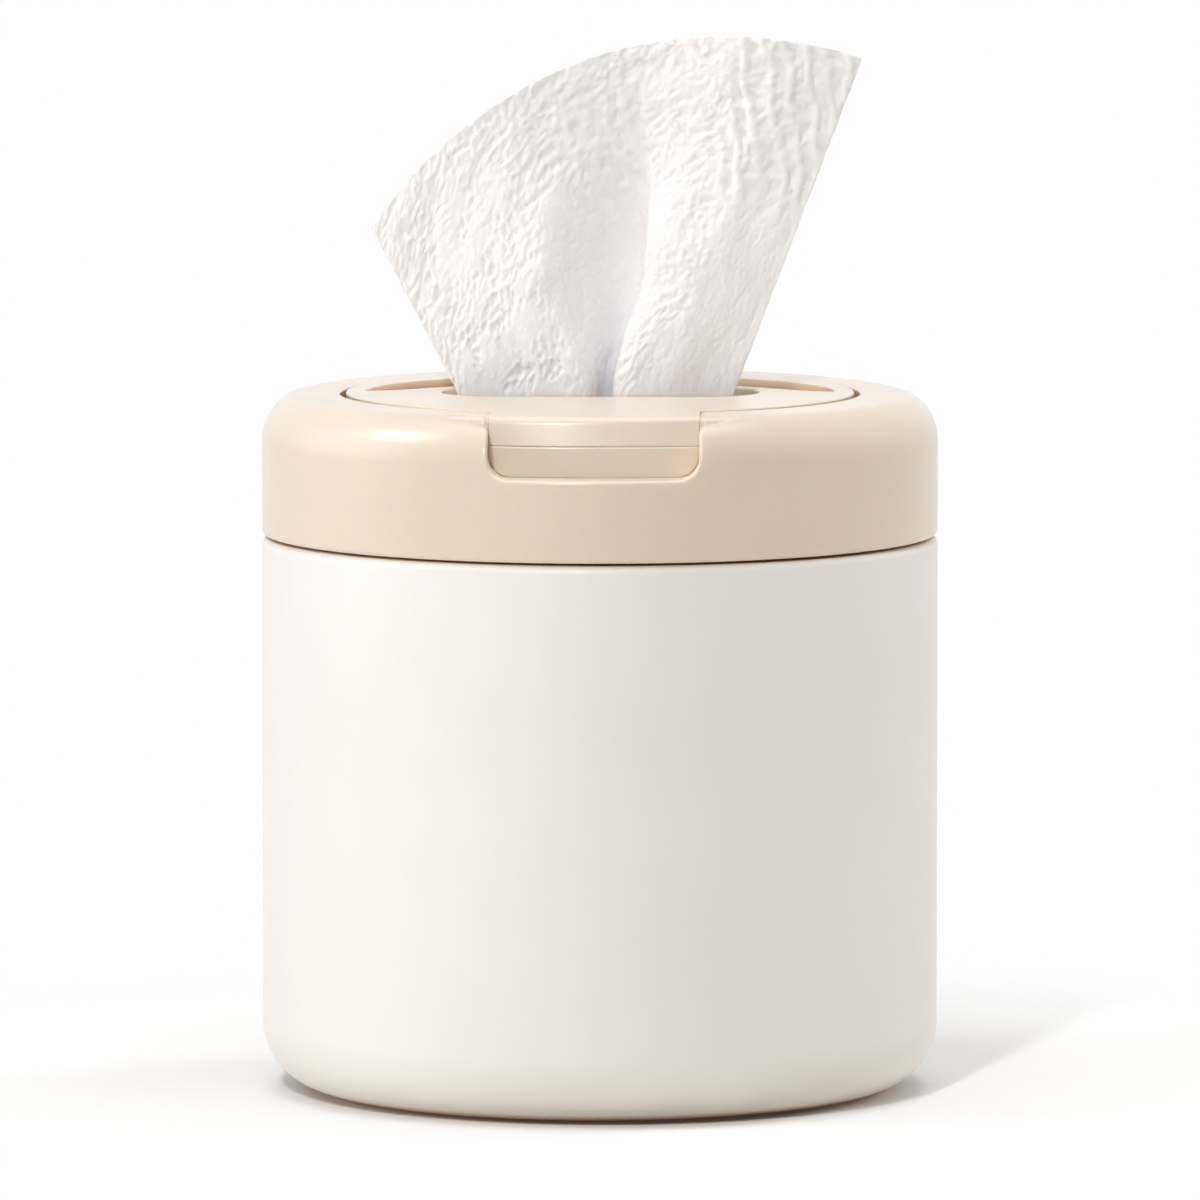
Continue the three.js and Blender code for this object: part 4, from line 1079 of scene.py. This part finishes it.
def white_floor():
    """A floor that takes the object's shadow and is white all round it."""
    mesh = bpy.data.meshes.new("floor")
    signs = ((-1, -1), (1, -1), (1, 1), (-1, 1))
    corners = [(x * FLOOR_REACH, y * FLOOR_REACH, 0) for x, y in signs]
    mesh.from_pydata(corners, [], [(0, 1, 2, 3)])
    floor = bpy.data.objects.new("floor", mesh)
    bpy.context.scene.collection.objects.link(floor)
    material = bpy.data.materials.new("floor_white")
    material.use_nodes = True
    nodes, links = material.node_tree.nodes, material.node_tree.links
    shader = nodes["Principled BSDF"]
    shader.inputs["Roughness"].default_value = 0.9
    shader.inputs["Specular IOR Level"].default_value = 0
    seen = camera_ray(nodes, links)
    paint = nodes.new("ShaderNodeMix")
    paint.data_type = "RGBA"
    paint.inputs["A"].default_value = (*FLOOR_PAINT, 1)
    paint.inputs["B"].default_value = (*FLOOR_SEEN, 1)
    links.new(seen, paint.inputs["Factor"])
    links.new(paint.outputs["Result"], shader.inputs["Base Color"])
    place = nodes.new("ShaderNodeTexCoord")
    distance = nodes.new("ShaderNodeVectorMath")
    distance.operation = "LENGTH"
    links.new(place.outputs["Object"], distance.inputs[0])
    fade = nodes.new("ShaderNodeMapRange")
    fade.interpolation_type = "SMOOTHSTEP"
    fade.inputs["From Min"].default_value = FLOOR_FADE[0]
    fade.inputs["From Max"].default_value = FLOOR_FADE[1]
    links.new(distance.outputs["Value"], fade.inputs["Value"])
    far = nodes.new("ShaderNodeMath")
    far.operation = "MULTIPLY"
    links.new(fade.outputs["Result"], far.inputs[0])
    links.new(seen, far.inputs[1])

    near_glow = nodes.new("ShaderNodeEmission")
    near_glow.inputs["Color"].default_value = (*WHITE, 1)
    strength = nodes.new("ShaderNodeMath")
    strength.operation = "MULTIPLY"
    strength.inputs[1].default_value = FLOOR_GLOW
    links.new(seen, strength.inputs[0])
    links.new(strength.outputs[0], near_glow.inputs["Strength"])
    near = nodes.new("ShaderNodeAddShader")
    links.new(shader.outputs["BSDF"], near.inputs[0])
    links.new(near_glow.outputs["Emission"], near.inputs[1])
    far_glow = nodes.new("ShaderNodeEmission")
    far_glow.inputs["Color"].default_value = (*WHITE, 1)
    both = nodes.new("ShaderNodeMixShader")
    links.new(far.outputs[0], both.inputs["Fac"])
    links.new(near.outputs["Shader"], both.inputs[1])
    links.new(far_glow.outputs["Emission"], both.inputs[2])
    links.new(both.outputs["Shader"], nodes["Material Output"].inputs["Surface"])
    mesh.materials.append(material)


LAMPS_AIM = 0.1  # the height that the lamps are aimed at
WARM_WHITE = (1, 0.985, 0.965)
NEAR_WHITE = (1, 0.995, 0.985)


def softbox(name, azimuth, elevation, distance, size, power, colour, part=None):
    """A round lamp aimed at the canister's middle. Azimuth 0 is in front, and 90 is to the right.

    Its part is what it gives: diffuse light alone, gloss alone, or both where none is named.
    """
    data = bpy.data.lights.new(name, "AREA")
    data.shape = "DISK"
    data.size = size
    data.energy = power
    data.color = colour
    lamp = bpy.data.objects.new(name, data)
    lamp.visible_glossy = part != "diffuse"
    lamp.visible_diffuse = part != "gloss"
    bpy.context.scene.collection.objects.link(lamp)
    turn, tilt = math.radians(azimuth), math.radians(elevation)
    lamp.location = (
        distance * math.sin(turn) * math.cos(tilt),
        -distance * math.cos(turn) * math.cos(tilt),
        distance * math.sin(tilt) + LAMPS_AIM,
    )
    lamp.rotation_euler = (math.pi / 2 - tilt, 0, turn)


white_world()
white_floor()
softbox("key", -12, 33, 2.4, 0.16, 22, WHITE)
softbox("left", -82, 10, 2.2, 1.0, 19.5, WHITE, "diffuse")
softbox("right", 118, 15, 2.2, 1.0, 21, WARM_WHITE, "diffuse")
softbox("overhead", 20, 86, 1.8, 1.8, 24, NEAR_WHITE)
softbox("gleam", -86, 42, 2.2, 0.7, 14, WHITE, "gloss")
softbox("veil", -98, 12, 2.2, 2.0, 12, WHITE, "gloss")

CAMERA_TURN = math.radians(1.2)
CAMERA_TILT = math.radians(90 - 5.6)
CAMERA_DISTANCE, CAMERA_HEIGHT = 3.3, 0.4397
camera_data = bpy.data.cameras.new("camera")
camera_data.lens = 419.8
camera_data.sensor_width = 36
camera_data.clip_end = 100
camera = bpy.data.objects.new("camera", camera_data)
bpy.context.scene.collection.objects.link(camera)
camera.location = (
    CAMERA_DISTANCE * math.sin(CAMERA_TURN),
    -CAMERA_DISTANCE * math.cos(CAMERA_TURN),
    CAMERA_HEIGHT,
)
camera.rotation_euler = (CAMERA_TILT, 0, CAMERA_TURN)
bpy.context.scene.camera = camera
bpy.context.scene.view_settings.view_transform = "Standard"
